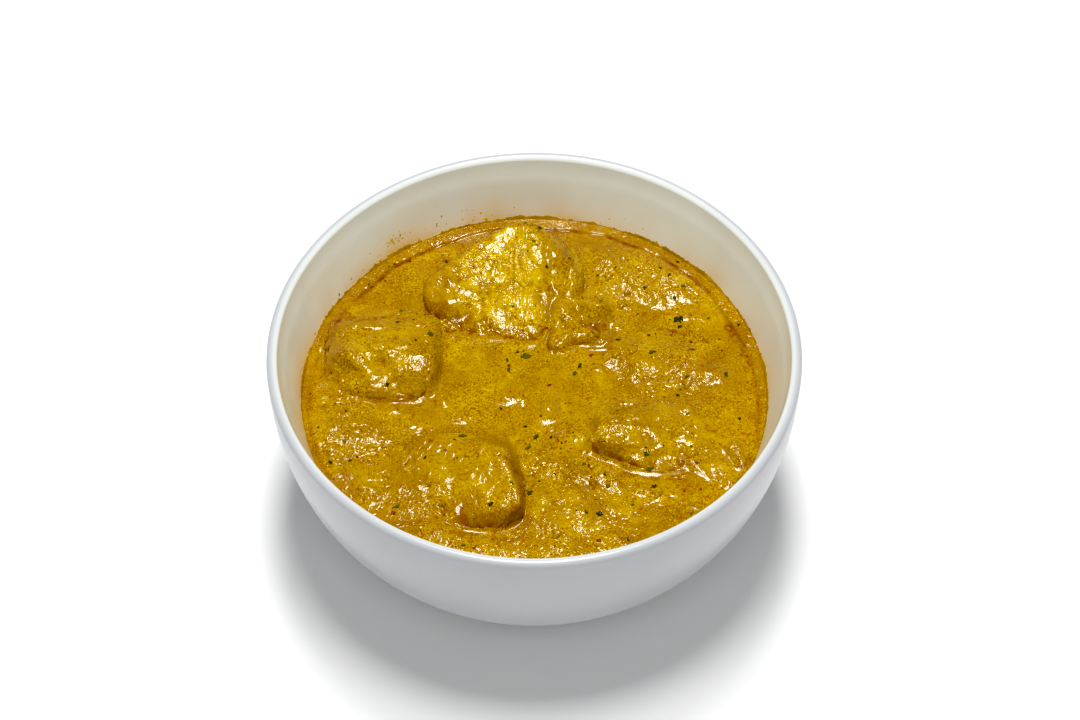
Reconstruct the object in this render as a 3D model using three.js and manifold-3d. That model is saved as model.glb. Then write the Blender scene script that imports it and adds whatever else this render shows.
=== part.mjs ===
// Chicken curry in a round white porcelain serving bowl, a three.js model in millimetres.
//
// +Z is up. The origin is the middle of the circle that the bowl's foot stands on. -Y is the side
// that a diner sees first. The bowl is one turned shell. The curry fills it up to the waterline and
// is cut round five pieces of chicken, which stand out of it. Herb and chilli flakes are fused to
// whatever they lie on.

import * as THREE from 'three';
import { mergeVertices } from 'three/addons/utils/BufferGeometryUtils.js';
import Module from 'manifold-3d';

const wasm = await Module();
wasm.setup();

// Bowl
const RIM_RADIUS = 75; // outside, a bowl of 150 mm
const BOWL_HEIGHT = 70;
const LIP_THICKNESS = 3.1;
const LIP_ROUNDING = 1.6; // height of the rounded lip
// The walls are superellipses: power 2 is an ellipse, more is squarer. The inside also tapers, so
// the wall grows thicker under the lip.
const OUTER_WALL = { radius: RIM_RADIUS, depth: 72.1, power: 2.39, taper: 0 };
const INNER_WALL = { radius: RIM_RADIUS - LIP_THICKNESS, depth: 62, power: 3.4, taper: 0.243 };
const FOOT_OUTER_RADIUS = 34.5;
const FOOT_WIDTH = 4.6;
const FOOT_CHAMFER = 0.6;
const FOOT_FILLET = 2.0; // the wall starts this far outside the foot ring
const UNDERSIDE_HEIGHT = 3.0; // hollow inside the foot ring
const TURN_STEPS = 64;
const WALL_STEPS = 12;
const LIP_STEPS = 6;

// Curry
const WATERLINE = 49; // height of the curry at the wall, 21 mm under the rim
const GAP = 0.3; // between touching solids
const RING_STEPS = 13; // rings of facets across the curry's top
const MENISCUS_HEIGHT = 0.9;
const MENISCUS_REACH = 1.6;

// Soft swellings of the curry's top: where, how long and wide, how far turned, how high
const SWELLINGS = [
  { at: [34, 46], reach: [17, 9], turn: -25, height: 2.4 },
  { at: [-22, 42], reach: [11, 9], turn: 40, height: 1.4 },
  { at: [33, 14], reach: [14, 7], turn: -10, height: 1.3 },
  { at: [-2, 8], reach: [14, 8], turn: 0, height: 0.8 },
  { at: [-50, -14], reach: [8, 6], turn: 0, height: 1.0 },
  { at: [8, -40], reach: [12, 10], turn: 30, height: 0.8 },
  { at: [47, -8], reach: [10, 14], turn: 0, height: 0.8 },
  { at: [-27, -50], reach: [6, 4.5], turn: 20, height: 2.0 },
  { at: [-14, -55], reach: [7, 4.5], turn: 0, height: 1.8 },
];

// A crumb of chicken under the curry's skin: where, and how wide and high it stands
const CRUMB = { at: [4.2, -6.5], radius: 2.9, height: 1.9 };

// Chicken. A piece is a block with rounded edges: flat faces round a centre, each given by the
// direction that it faces (turn from +X, tilt up from level, in degrees) and its distance from the
// centre. `girth` adds the sunk sides, to the right, back, left and front, which face slightly down.
// `sharpness` rounds the edges between faces. A knob swells or dents the block towards one
// direction, and `unevenness` waves it.
const CHICKEN = [
  {
    name: 'chicken_back',
    centre: [-7, 38, 45],
    sharpness: 18,
    faces: [
      [261, 69, 10.3],
      [127, 15, 17.3],
      [85, 10, 19.6],
      [313, 64, 12.7],
      [20, 40, 20.5],
      [324, 10, 18.8],
      [227, 10, 22.7],
      [262, -5, 18.8],
      [90, -38, 16.4],
      [0, -90, 10.0],
    ],
    girth: [21, 17, 24, 18.5],
    knobs: [
      [205, 22, 2.4, 60],
      [218, 20, -1.2, 90],
    ],
    unevenness: [0.35, 6],
  },
  {
    name: 'chicken_left',
    centre: [-43, 11, 45],
    sharpness: 10,
    faces: [
      [272, 80, 10.9],
      [95, 75, 11.1],
      [178, 38, 17.6],
      [3, 26, 16.9],
      [92, 54, 14.6],
      [268, 26, 15.9],
      [222, 46, 15.2],
      [135, 42, 19.8],
      [170, -40, 14.0],
      [0, -90, 9.0],
      [270, 64, 12.0],
      [318, 18, 18.4],
    ],
    girth: [17.3, 16, 18.4, 14.8],
    knobs: [
      [335, 48, 1.0, 30],
      [193, 42, 1.4, 50],
      [214, 36, -1.6, 80],
      [262, 62, -0.9, 50],
      [60, 52, 0.6, 30],
      [311, 38, 0.8, 60],
      [120, 60, -0.6, 40],
    ],
    unevenness: [0.45, 8],
  },
  {
    name: 'chicken_front',
    centre: [-18, -33, 46],
    sharpness: 14,
    faces: [
      [219, 71, 8.4],
      [88, 60, 13.2],
      [18, 25, 14.9],
      [355, 8, 17.3],
      [262, 36, 14.4],
      [258, 4, 16.2],
      [222, 25, 14.4],
      [180, 38, 17.6],
      [250, -40, 14.0],
      [0, -90, 9.0],
      [298, 6, 18.4],
    ],
    girth: [16, 15, 19.5, 16.5],
    knobs: [
      [240, 70, -0.5, 50],
      [200, 50, 0.6, 30],
    ],
    unevenness: [0.3, 7],
  },
  {
    name: 'chicken_right',
    centre: [30, -18, 45],
    sharpness: 11,
    faces: [
      [265, 72, 8.3],
      [338, 73, 8.9],
      [92, 57, 11.1],
      [244, 30, 10.2],
      [276, 25, 12.2],
      [165, 25, 15.2],
      [352, 38, 15.6],
      [0, -90, 9.0],
    ],
    girth: [18, 12, 15, 13.2],
    knobs: [
      [300, 70, -0.8, 60],
      [215, 50, 0.7, 40],
    ],
    unevenness: [0.3, 8],
  },
  {
    name: 'chicken_shred',
    centre: [12, 25, 45],
    sharpness: 6,
    faces: [
      [270, 80, 6.6],
      [10, 35, 10.6],
      [185, 30, 9.4],
      [90, 35, 10.4],
      [265, 35, 10.6],
      [0, -90, 8.0],
    ],
    girth: [11, 11, 10, 11],
    knobs: [
      [130, 45, 1.4, 18],
      [232, 25, 2.2, 16],
      [25, 35, 1.5, 18],
      [290, 45, 1.2, 20],
      [330, 60, -1.2, 30],
    ],
    unevenness: [0.4, 9],
  },
];
const SUNK_SIDE_TILT = -12;
const CHICKEN_DETAIL = 4; // 20 * (detail + 1)^2 facets a piece

// Flakes of chopped herb and chilli, largest first: where and how long the largest are. The
// others follow a golden-angle spiral over the curry and get shorter one by one.
const LARGE_FLAKES = [
  { at: [41.8, 27.4], length: 3.6, turn: 40 },
  { at: [-2.4, 13.1], length: 3.8, turn: 15 },
  { at: [-59.5, 12.5], length: 3.0, turn: 75 },
  { at: [-20.0, -19.5], length: 2.8, turn: 10 },
  { at: [34.0, 13.5], length: 2.8, turn: 20 },
  { at: [13.0, 9.5], length: 2.4, turn: 70 },
  { at: [18.1, -43.2], length: 2.6, turn: 0 },
  { at: [-30.0, 17.5], length: 2.4, turn: 20 },
  { at: [55.0, 6.0], length: 2.4, turn: 80 },
  { at: [-1.2, -36.0], length: 2.6, turn: 60 },
  { at: [15.8, -26.3], length: 2.0, turn: 30 },
];
const SMALL_FLAKES = 34;
const SMALL_FLAKE_LENGTH = [2.2, 1.2]; // first and last
const FLAKE_FIELD_RADIUS = 60;
const FLAKE_WIDTH = 0.55; // share of the length
const FLAKE_THICKNESS = 0.7;
const FLAKE_RISE = 0.1; // middle of a flake above what it lies on
const CHILLI_EVERY = 6; // each sixth small flake is chilli, which is squarer
const GOLDEN_ANGLE = Math.PI * (3 - Math.sqrt(5));

const materials = {
  porcelain: new THREE.MeshStandardMaterial({ color: 0xd9dbd8, roughness: 0.18, metalness: 0 }),
  curry: new THREE.MeshStandardMaterial({ color: 0xb17d06, roughness: 0.35, metalness: 0 }),
  chicken: new THREE.MeshStandardMaterial({ color: 0xc49a12, roughness: 0.4, metalness: 0 }),
};

const radians = (degrees) => (degrees * Math.PI) / 180;

// The unit vector that faces `turn` degrees round from +X and `tilt` degrees up from level.
function facing(turn, tilt) {
  const [t, e] = [radians(turn), radians(tilt)];
  return new THREE.Vector3(Math.cos(e) * Math.cos(t), Math.cos(e) * Math.sin(t), Math.sin(e));
}

// ---------------------------------------------------------------- closed meshes and booleans

// A copy of the geometry with shared vertices merged and facets without area left out.
function welded(geometry) {
  const bare = new THREE.BufferGeometry();
  bare.setAttribute('position', geometry.attributes.position.clone());
  if (geometry.index) bare.setIndex(geometry.index.clone());
  const merged = mergeVertices(bare, 1e-4);
  const old = merged.index.array;
  const kept = [];
  for (let i = 0; i < old.length; i += 3) {
    const [a, b, c] = [old[i], old[i + 1], old[i + 2]];
    if (a !== b && b !== c && c !== a) kept.push(a, b, c);
  }
  merged.setIndex(kept);
  return merged;
}

function toSolid(geometry) {
  const shape = welded(geometry);
  return new wasm.Manifold(
    new wasm.Mesh({
      numProp: 3,
      vertProperties: new Float32Array(shape.attributes.position.array),
      triVerts: new Uint32Array(shape.index.array),
    }),
  );
}

// The largest body of a solid, as a geometry. Scraps that a cut leaves behind are dropped.
function toGeometry(solid) {
  const [largest] = solid.decompose().sort((a, b) => b.volume() - a.volume());
  const mesh = largest.getMesh();
  const geometry = new THREE.BufferGeometry();
  geometry.setAttribute('position', new THREE.BufferAttribute(mesh.vertProperties, 3));
  geometry.setIndex(new THREE.BufferAttribute(mesh.triVerts, 1));
  return geometry;
}

// A solid of revolution about Z, from a closed profile of [radius, height] that runs
// anticlockwise, seen with the radius to the right.
function turned(profile) {
  const points = profile.map(([r, z]) => new THREE.Vector2(r, z));
  const lathe = new THREE.LatheGeometry(points, TURN_STEPS);
  return welded(lathe.rotateX(Math.PI / 2));
}

// ---------------------------------------------------------------- bowl

// [radius, height] of a point of a wall: share 0 is level with the rim, share 1 is on the axis.
function wallPoint({ radius, depth, power, taper }, share) {
  if (share === 1) return [0, BOWL_HEIGHT - depth];
  const angle = (share * Math.PI) / 2;
  const down = depth * Math.sin(angle) ** (2 / power);
  return [(radius - taper * down) * Math.cos(angle) ** (2 / power), BOWL_HEIGHT - down];
}

// The radius of the bowl's inside at a height.
function insideRadius(z) {
  const { radius, depth, power, taper } = INNER_WALL;
  const down = BOWL_HEIGHT - z;
  return (radius - taper * down) * (1 - (down / depth) ** power) ** (1 / power);
}

// The height of the bowl's outside at a radius.
function outsideHeight(r) {
  const { radius, depth, power } = OUTER_WALL;
  return BOWL_HEIGHT - depth * (1 - (r / radius) ** power) ** (1 / power);
}

function bowlGeometry() {
  const profile = [];
  const lipFoot = BOWL_HEIGHT - LIP_ROUNDING;
  // underside and foot ring, from the axis outwards
  const footInner = FOOT_OUTER_RADIUS - FOOT_WIDTH;
  profile.push([0, UNDERSIDE_HEIGHT], [footInner - FOOT_CHAMFER, UNDERSIDE_HEIGHT]);
  profile.push([footInner, FOOT_CHAMFER], [footInner + FOOT_CHAMFER, 0]);
  profile.push([FOOT_OUTER_RADIUS - FOOT_CHAMFER, 0], [FOOT_OUTER_RADIUS, FOOT_CHAMFER]);
  const wallStart = FOOT_OUTER_RADIUS + FOOT_FILLET;
  profile.push([FOOT_OUTER_RADIUS + 0.2 * FOOT_FILLET, outsideHeight(wallStart) - FOOT_CHAMFER]);
  profile.push([wallStart, outsideHeight(wallStart)]);
  // outside wall, from the foot ring up to the lip
  for (let i = WALL_STEPS; i >= 0; i--) {
    const [r, z] = wallPoint(OUTER_WALL, i / WALL_STEPS);
    if (r > wallStart + 1 && z < lipFoot) profile.push([r, z]);
  }
  // rounded lip, from outside to inside
  for (let i = 0; i <= LIP_STEPS; i++) {
    const angle = (i / LIP_STEPS) * Math.PI;
    const half = LIP_THICKNESS / 2;
    const r = RIM_RADIUS - half + half * Math.cos(angle);
    profile.push([r, lipFoot + LIP_ROUNDING * Math.sin(angle)]);
  }
  // inside wall, from the lip down to the floor's middle
  for (let i = 1; i <= WALL_STEPS; i++) {
    const [r, z] = wallPoint(INNER_WALL, i / WALL_STEPS);
    if (z < lipFoot - 1) profile.push([r, z]);
  }
  return turned(profile);
}

// ---------------------------------------------------------------- curry

// Height of the curry's top at a place: the waterline, its swellings, and a rise at the wall.
function curryHeight(x, y) {
  const edge = insideRadius(WATERLINE) - GAP;
  const toWall = Math.max(0, edge - Math.hypot(x, y));
  let height = WATERLINE + MENISCUS_HEIGHT * Math.exp(-((toWall / MENISCUS_REACH) ** 2));
  const calm = Math.min(1, toWall / 4);
  for (const { at, reach, turn, height: rise } of SWELLINGS) {
    const [c, s] = [Math.cos(radians(turn)), Math.sin(radians(turn))];
    const along = ((x - at[0]) * c + (y - at[1]) * s) / reach[0];
    const across = ((y - at[1]) * c - (x - at[0]) * s) / reach[1];
    height += calm * rise * Math.exp(-along * along - across * across);
  }
  return height;
}

// The filling without its cuts: a turned body that keeps a gap to the bowl, with the swellings
// pressed into its top.
function fillingGeometry() {
  const profile = [];
  const wall = [];
  for (let i = 1; i <= WALL_STEPS; i++) {
    const [r, z] = wallPoint(INNER_WALL, i / WALL_STEPS);
    if (z < WATERLINE - 1) wall.push([Math.max(0, r - GAP), z + GAP]);
  }
  profile.push(...wall.reverse());
  const edge = insideRadius(WATERLINE) - GAP;
  for (let i = RING_STEPS; i >= 0; i--) {
    const share = i / RING_STEPS;
    profile.push([edge * share ** 0.85, WATERLINE]);
  }
  const geometry = turned(profile);
  const position = geometry.attributes.position;
  for (let i = 0; i < position.count; i++) {
    if (Math.abs(position.getZ(i) - WATERLINE) > 1e-3) continue;
    position.setZ(i, curryHeight(position.getX(i), position.getY(i)));
  }
  return geometry;
}

// ---------------------------------------------------------------- chicken

// A sum of smooth waves over the sphere of directions, between about -1 and 1.
function waves(direction, scale, seed) {
  const count = 9;
  let sum = 0;
  for (let i = 0; i < count; i++) {
    const z = 1 - (2 * (i + 0.5)) / count;
    const r = Math.sqrt(1 - z * z);
    const turn = GOLDEN_ANGLE * (i + 1 + seed);
    const length = scale * (0.75 + 0.5 * ((i * 0.618) % 1));
    const wave = new THREE.Vector3(r * Math.cos(turn), r * Math.sin(turn), z);
    sum += Math.sin(length * wave.dot(direction) + 1.7 * i + seed);
  }
  return sum / Math.sqrt(count);
}

// How far a piece of chicken reaches from its centre in a direction.
function reachOf(piece, direction) {
  let sum = 0;
  const sunk = piece.girth.map((distance, i) => [i * 90, SUNK_SIDE_TILT, distance]);
  for (const [turn, tilt, distance] of [...piece.faces, ...sunk]) {
    sum += Math.max(0, facing(turn, tilt).dot(direction) / distance) ** piece.sharpness;
  }
  let reach = sum ** (-1 / piece.sharpness);
  for (const [turn, tilt, amount, narrowness] of piece.knobs) {
    reach += amount * Math.exp(narrowness * (facing(turn, tilt).dot(direction) - 1));
  }
  const [amount, scale] = piece.unevenness;
  return reach + amount * waves(direction, scale, piece.centre[0]);
}

// The piece as a closed skin of even facets, swollen by `extra` on all sides.
function chickenGeometry(piece, extra) {
  const ball = welded(new THREE.IcosahedronGeometry(1, CHICKEN_DETAIL));
  const centre = new THREE.Vector3(...piece.centre);
  const position = ball.attributes.position;
  const direction = new THREE.Vector3();
  for (let i = 0; i < position.count; i++) {
    direction.fromBufferAttribute(position, i).normalize();
    const reach = reachOf(piece, direction) + extra;
    position.setXYZ(i, ...direction.multiplyScalar(reach).add(centre).toArray());
  }
  return ball;
}

// Height of a piece's upper side over a place, or minus infinity where the piece isn't.
function chickenTop(piece, x, y) {
  const step = 0.5;
  const offset = new THREE.Vector3();
  for (let z = BOWL_HEIGHT; z > piece.centre[2]; z -= step) {
    offset.set(x - piece.centre[0], y - piece.centre[1], z - piece.centre[2]);
    const distance = offset.length();
    if (distance < reachOf(piece, offset.normalize())) return z + step / 2;
  }
  return -Infinity;
}

// ---------------------------------------------------------------- flakes

function flakeList() {
  const flakes = LARGE_FLAKES.map((flake) => ({ ...flake, width: FLAKE_WIDTH }));
  const [longest, shortest] = SMALL_FLAKE_LENGTH;
  for (let i = 0; i < SMALL_FLAKES; i++) {
    const share = (i + 0.5) / SMALL_FLAKES;
    const radius = FLAKE_FIELD_RADIUS * Math.sqrt((share * 7.3) % 1);
    const angle = GOLDEN_ANGLE * (i + 3) + 0.4 * Math.sin(5.1 * i);
    flakes.push({
      at: [radius * Math.cos(angle), radius * Math.sin(angle)],
      length: longest + (shortest - longest) * share,
      turn: (137.5 * i) % 180,
      width: i % CHILLI_EVERY === CHILLI_EVERY - 1 ? 0.9 : FLAKE_WIDTH,
    });
  }
  return flakes;
}

// A flake is a flattened six-sided lens that lies on the slope under it.
function flakeGeometry({ at, length, turn, width }, heightAt) {
  const lens = new THREE.SphereGeometry(1, 6, 3).rotateX(Math.PI / 2);
  lens.scale(length / 2, (width * length) / 2, FLAKE_THICKNESS / 2);
  lens.rotateZ(radians(turn));
  const position = lens.attributes.position;
  for (let i = 0; i < position.count; i++) {
    const x = position.getX(i) + at[0];
    const y = position.getY(i) + at[1];
    position.setXYZ(i, x, y, heightAt(x, y) + FLAKE_RISE + position.getZ(i));
  }
  return lens;
}

// A dome whose middle lies at the curry's height.
function crumbGeometry({ at, radius, height }) {
  const dome = new THREE.SphereGeometry(1, 10, 6).rotateX(Math.PI / 2);
  return dome.scale(radius, radius, height).translate(...at, curryHeight(...at));
}

// A flake lies on the piece of chicken under it, if all of it does, and otherwise on the curry.
// One that would lie across two of them is left out.
function carrierOf(flake) {
  const rims = [];
  for (let i = 0; i < 8; i++) {
    const angle = (i * Math.PI) / 4;
    const reach = flake.length / 2 + 2 * GAP;
    rims.push([flake.at[0] + reach * Math.cos(angle), flake.at[1] + reach * Math.sin(angle)]);
  }
  let carrier = 'curry';
  for (const piece of CHICKEN) {
    const rises = rims.map(([x, y]) => chickenTop(piece, x, y) - curryHeight(x, y));
    if (Math.max(...rises) < -1) continue;
    if (Math.min(...rises) < 1 || carrier !== 'curry') return null;
    carrier = piece.name;
  }
  return carrier;
}

// ---------------------------------------------------------------- assembly

const curryRim = insideRadius(WATERLINE) - GAP - 1.5;
const flakes = flakeList().filter(
  ({ at, length }) => Math.hypot(...at) + length / 2 < curryRim,
);
const carried = new Map();
for (const flake of flakes) {
  const carrier = carrierOf(flake);
  if (carrier) carried.set(carrier, [...(carried.get(carrier) ?? []), flake]);
}

function withFlakes(solid, name, heightAt) {
  let result = solid;
  for (const flake of carried.get(name) ?? []) {
    result = result.add(toSolid(flakeGeometry(flake, heightAt)));
  }
  return result;
}

function addMesh(group, name, geometry, material) {
  const mesh = new THREE.Mesh(geometry, material);
  mesh.name = name;
  group.add(mesh);
}

const group = new THREE.Group();
addMesh(group, 'bowl', bowlGeometry(), materials.porcelain);

const filling = toSolid(fillingGeometry()).add(toSolid(crumbGeometry(CRUMB)));
let curry = withFlakes(filling, 'curry', curryHeight);
let placed = null;
for (const piece of CHICKEN) {
  const pocket = toSolid(chickenGeometry(piece, GAP));
  curry = curry.subtract(pocket);
  const topAt = (x, y) => chickenTop(piece, x, y);
  let body = withFlakes(toSolid(chickenGeometry(piece, 0)), piece.name, topAt);
  if (placed) body = body.subtract(placed);
  placed = placed ? placed.add(pocket) : pocket;
  addMesh(group, piece.name, toGeometry(body), materials.chicken);
}
addMesh(group, 'curry', toGeometry(curry), materials.curry);

export default group;
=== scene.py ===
"""Chicken curry in a round white porcelain bowl.

The file is laid out as an add-on: property groups hold the sizes and colours, each piece is an
operator, and one panel lists them. Shapes are worked out in millimetres, as whole numpy arrays,
and go into their meshes in metres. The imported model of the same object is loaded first, and what
is made here stands in the place of its plain solids.
"""

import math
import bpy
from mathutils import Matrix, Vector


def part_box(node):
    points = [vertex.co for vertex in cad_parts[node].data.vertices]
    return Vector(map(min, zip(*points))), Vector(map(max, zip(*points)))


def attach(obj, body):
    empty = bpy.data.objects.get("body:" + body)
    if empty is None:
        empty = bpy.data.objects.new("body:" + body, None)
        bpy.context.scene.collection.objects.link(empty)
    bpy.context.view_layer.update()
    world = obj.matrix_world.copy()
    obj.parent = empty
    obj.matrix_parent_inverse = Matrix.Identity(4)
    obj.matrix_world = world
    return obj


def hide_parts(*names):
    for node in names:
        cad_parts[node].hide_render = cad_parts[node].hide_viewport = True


bl_info = {
    "name": "Chicken curry in a bowl",
    "version": (1, 0, 0),
    "blender": (4, 5, 0),
    "location": "3D View > Sidebar > Curry",
    "description": "Makes a porcelain bowl of chicken curry with chopped herbs",
    "category": "Object",
}

import bpy
import numpy as np
from bpy.props import FloatProperty, FloatVectorProperty, IntProperty, PointerProperty

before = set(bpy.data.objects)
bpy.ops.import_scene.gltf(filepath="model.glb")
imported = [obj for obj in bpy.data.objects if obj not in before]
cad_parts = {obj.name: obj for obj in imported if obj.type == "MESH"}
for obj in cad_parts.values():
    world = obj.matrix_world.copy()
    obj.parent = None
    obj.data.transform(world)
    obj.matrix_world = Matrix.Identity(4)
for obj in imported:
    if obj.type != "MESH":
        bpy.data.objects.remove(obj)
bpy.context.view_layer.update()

MM = 0.001
GOLDEN_ANGLE = math.pi * (3 - math.sqrt(5))


def srgb(red, green, blue):
    """Linear colour of a screen colour given as three numbers from 0 to 255."""
    values = np.array([red, green, blue]) / 255
    low, high = values / 12.92, ((values + 0.055) / 1.055) ** 2.4
    return tuple(float(v) for v in np.where(values <= 0.04045, low, high))


# ---- sizes of the solids, in mm

RIM_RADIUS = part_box("bowl")[1][0] / MM
BOWL_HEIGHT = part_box("bowl")[1][2] / MM
LIP_THICKNESS = 3.1
LIP_ROUNDING = 1.6
OUTER_WALL = {"radius": RIM_RADIUS, "depth": 72.1, "power": 2.39, "taper": 0.0}
INNER_WALL = {"radius": RIM_RADIUS - LIP_THICKNESS, "depth": 62.0, "power": 3.4, "taper": 0.243}
FOOT_OUTER_RADIUS = 34.5
FOOT_WIDTH = 4.6
FOOT_ROUNDING = 0.8
FOOT_FILLET = 2.0
UNDERSIDE_HEIGHT = 3.0
GAP = 0.3

WATERLINE = 49.0
# Soft swellings of the curry's top: where, how long and wide, how far turned, how high
SWELLINGS = [
    ((34, 46), (17, 9), -25, 2.4),
    ((-22, 42), (11, 9), 40, 1.4),
    ((33, 14), (14, 7), -10, 1.3),
    ((-2, 8), (14, 8), 0, 0.8),
    ((-50, -14), (8, 6), 0, 1.0),
    ((8, -40), (12, 10), 30, 0.8),
    ((47, -8), (10, 14), 0, 0.8),
    ((-27, -50), (6, 4.5), 20, 2.0),
    ((-14, -55), (7, 4.5), 0, 1.8),
]
CRUMB = {"at": (4.2, -6.5), "radius": 2.9, "height": 1.9}

# Pieces of chicken. `faces` are flat sides round the centre: turn from +X, tilt up from level,
# distance from the centre. `girth` is the distance of the sunk sides to the right, back, left and
# front. `sharpness` rounds the edges. `knobs` swell or dent the piece: turn, tilt, amount, how
# narrow. `unevenness` is the height and number of broad waves.
SUNK_SIDE_TILT = -12
CHICKEN = {
    "chicken_back": {
        "centre": (-7, 38, 45),
        "sharpness": 18,
        "faces": [
            (261, 69, 10.3), (127, 15, 17.3), (85, 10, 19.6), (313, 64, 12.7), (20, 40, 20.5),
            (324, 10, 18.8), (227, 10, 22.7), (262, -5, 18.8), (90, -38, 16.4), (0, -90, 10.0),
        ],
        "girth": (21, 17, 24, 18.5),
        "knobs": [(205, 22, 2.4, 60), (218, 20, -1.2, 90)],
        "unevenness": (0.35, 6),
    },
    "chicken_left": {
        "centre": (-43, 11, 45),
        "sharpness": 10,
        "faces": [
            (272, 80, 10.9), (95, 75, 11.1), (178, 38, 17.6), (3, 26, 16.9), (92, 54, 14.6),
            (268, 26, 15.9), (222, 46, 15.2), (135, 42, 19.8), (170, -40, 14.0), (0, -90, 9.0),
            (270, 64, 12.0), (318, 18, 18.4),
        ],
        "girth": (17.3, 16, 18.4, 14.8),
        "knobs": [
            (335, 48, 1.0, 30), (193, 42, 1.4, 50), (214, 36, -1.6, 80), (262, 62, -0.9, 50),
            (60, 52, 0.6, 30), (311, 38, 0.8, 60), (120, 60, -0.6, 40),
        ],
        "unevenness": (0.45, 8),
    },
    "chicken_front": {
        "centre": (-18, -33, 46),
        "sharpness": 14,
        "faces": [
            (219, 71, 8.4), (88, 60, 13.2), (18, 25, 14.9), (355, 8, 17.3), (262, 36, 14.4),
            (258, 4, 16.2), (222, 25, 14.4), (180, 38, 17.6), (250, -40, 14.0), (0, -90, 9.0),
            (298, 6, 18.4),
        ],
        "girth": (16, 15, 19.5, 16.5),
        "knobs": [(240, 70, -0.5, 50), (200, 50, 0.6, 30)],
        "unevenness": (0.3, 7),
    },
    "chicken_right": {
        "centre": (30, -18, 45),
        "sharpness": 11,
        "faces": [
            (265, 72, 8.3), (338, 73, 8.9), (92, 57, 11.1), (244, 30, 10.2), (276, 25, 12.2),
            (165, 25, 15.2), (352, 38, 15.6), (0, -90, 9.0),
        ],
        "girth": (18, 12, 15, 13.2),
        "knobs": [(300, 70, -0.8, 60), (215, 50, 0.7, 40)],
        "unevenness": (0.3, 8),
    },
    "chicken_shred": {
        "centre": (12, 25, 45),
        "sharpness": 6,
        "faces": [
            (270, 80, 6.6), (10, 35, 10.6), (185, 30, 9.4), (90, 35, 10.4), (265, 35, 10.6),
            (0, -90, 8.0),
        ],
        "girth": (11, 11, 10, 11),
        "knobs": [
            (130, 45, 1.4, 18), (232, 25, 2.2, 16), (25, 35, 1.5, 18), (290, 45, 1.2, 20),
            (330, 60, -1.2, 30),
        ],
        "unevenness": (0.4, 9),
    },
}

# ---- settings


def colour_property(name, description, *screen_colour):
    return FloatVectorProperty(name=name, description=description, subtype="COLOR", size=3, min=0,
                               max=1, default=srgb(*screen_colour))


def length_property(name, description, millimetres):
    return FloatProperty(name=name, description=description, unit="LENGTH", subtype="DISTANCE",
                         precision=5, default=millimetres * MM)


class BowlSettings(bpy.types.PropertyGroup):
    glaze: colour_property("Glaze inside", "Colour of the glaze inside", 235, 242, 237)
    # The outside is the same glaze as the inside. Its darker colour is painted shade.
    outside: colour_property("Glaze outside", "Colour of the glaze outside", 186, 189, 192)
    clay: colour_property("Foot ring", "Colour of the unglazed foot ring", 214, 208, 196)
    # The stain is partly a real film of curry and partly painted warm bounce light from the curry.
    stain: colour_property("Stain", "Thin film that the curry leaves on the wall", 222, 178, 84)
    wave: length_property("Wave", "Unevenness of the thrown wall", 0.06)


class SauceSettings(bpy.types.PropertyGroup):
    body: colour_property("Sauce", "Main colour of the sauce", 160, 124, 0)
    # The deep colour is also the one that painted shade darkens towards.
    deep: colour_property("Deep sauce", "Where the sauce is browner", 132, 92, 0)
    pale: colour_property("Pale sauce", "Where the sauce is yellower", 188, 155, 0)
    crust: colour_property("Crust", "Sauce that dries on the wall", 164, 128, 0)
    splash: colour_property("Splashes", "Thin drops on the wall", 222, 190, 40)
    oil: colour_property("Oil", "Red-brown oil that parts from the sauce", 106, 37, 0)
    spice: colour_property("Spice", "Smudges of ground spice", 129, 66, 0)
    speck: colour_property("Specks", "Coarse specks of spice", 86, 30, 2)
    grain_dark: colour_property("Dark grain", "Coarse ground spice", 106, 60, 0)
    grain_light: colour_property("Light grain", "Grains of the sauce", 200, 172, 10)
    grain: length_property("Grain", "Height of the grainy relief", 0.07)
    lumps: length_property("Lumps", "Height of the soft lumps under the skin", 0.45)


class ChickenSettings(bpy.types.PropertyGroup):
    meat: colour_property("Meat", "Chicken where it shows through the sauce", 198, 162, 2)
    wrinkle: length_property("Wrinkles", "Height of the wrinkles of the coating", 0.34)
    fibre: length_property("Fibres", "Height of the fibres of the meat", 0.26)


class GarnishSettings(bpy.types.PropertyGroup):
    leaf: colour_property("Herb", "Chopped herb", 88, 90, 20)
    leaf_dark: colour_property("Dark herb", "Wet, dark side of the herb", 46, 45, 8)
    chilli: colour_property("Chilli", "Chilli flakes", 148, 40, 3)
    herbs: IntProperty(name="Herb flakes", description="Number of small herb flakes",
                       default=90, min=0)
    chillies: IntProperty(name="Chilli flakes", description="Number of small chilli flakes",
                          default=26, min=0)


class StageSettings(bpy.types.PropertyGroup):
    distance: length_property("Camera distance", "From the camera to what it looks at", 800)
    elevation: FloatProperty(name="Camera elevation", description="Angle above level",
                             subtype="ANGLE", default=math.radians(50.82))
    lens: FloatProperty(name="Lens", description="Focal length on a 36 mm sensor, in millimetres",
                        default=95.67)
    sky: FloatProperty(name="Sky", description="Strength of the soft light from all round",
                       default=0.14)
    softbox: FloatProperty(name="Softbox", description="Power of the wide softbox overhead",
                           unit="POWER", default=8.8)
    key: FloatProperty(name="Key light", description="Power of the small light overhead",
                       unit="POWER", default=7.0)
    fill: FloatProperty(name="Fill light", description="Power of the soft light in front",
                        unit="POWER", default=3.0)


class CurryBowl(bpy.types.PropertyGroup):
    bowl: PointerProperty(type=BowlSettings)
    sauce: PointerProperty(type=SauceSettings)
    chicken: PointerProperty(type=ChickenSettings)
    garnish: PointerProperty(type=GarnishSettings)
    stage: PointerProperty(type=StageSettings)


# ---- noise

RANDOM = np.random.default_rng(20)
SHUFFLE = np.tile(RANDOM.permutation(256), 3)
SLOPES = RANDOM.normal(size=(256, 3))
SLOPES /= np.linalg.norm(SLOPES, axis=1, keepdims=True)


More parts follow.
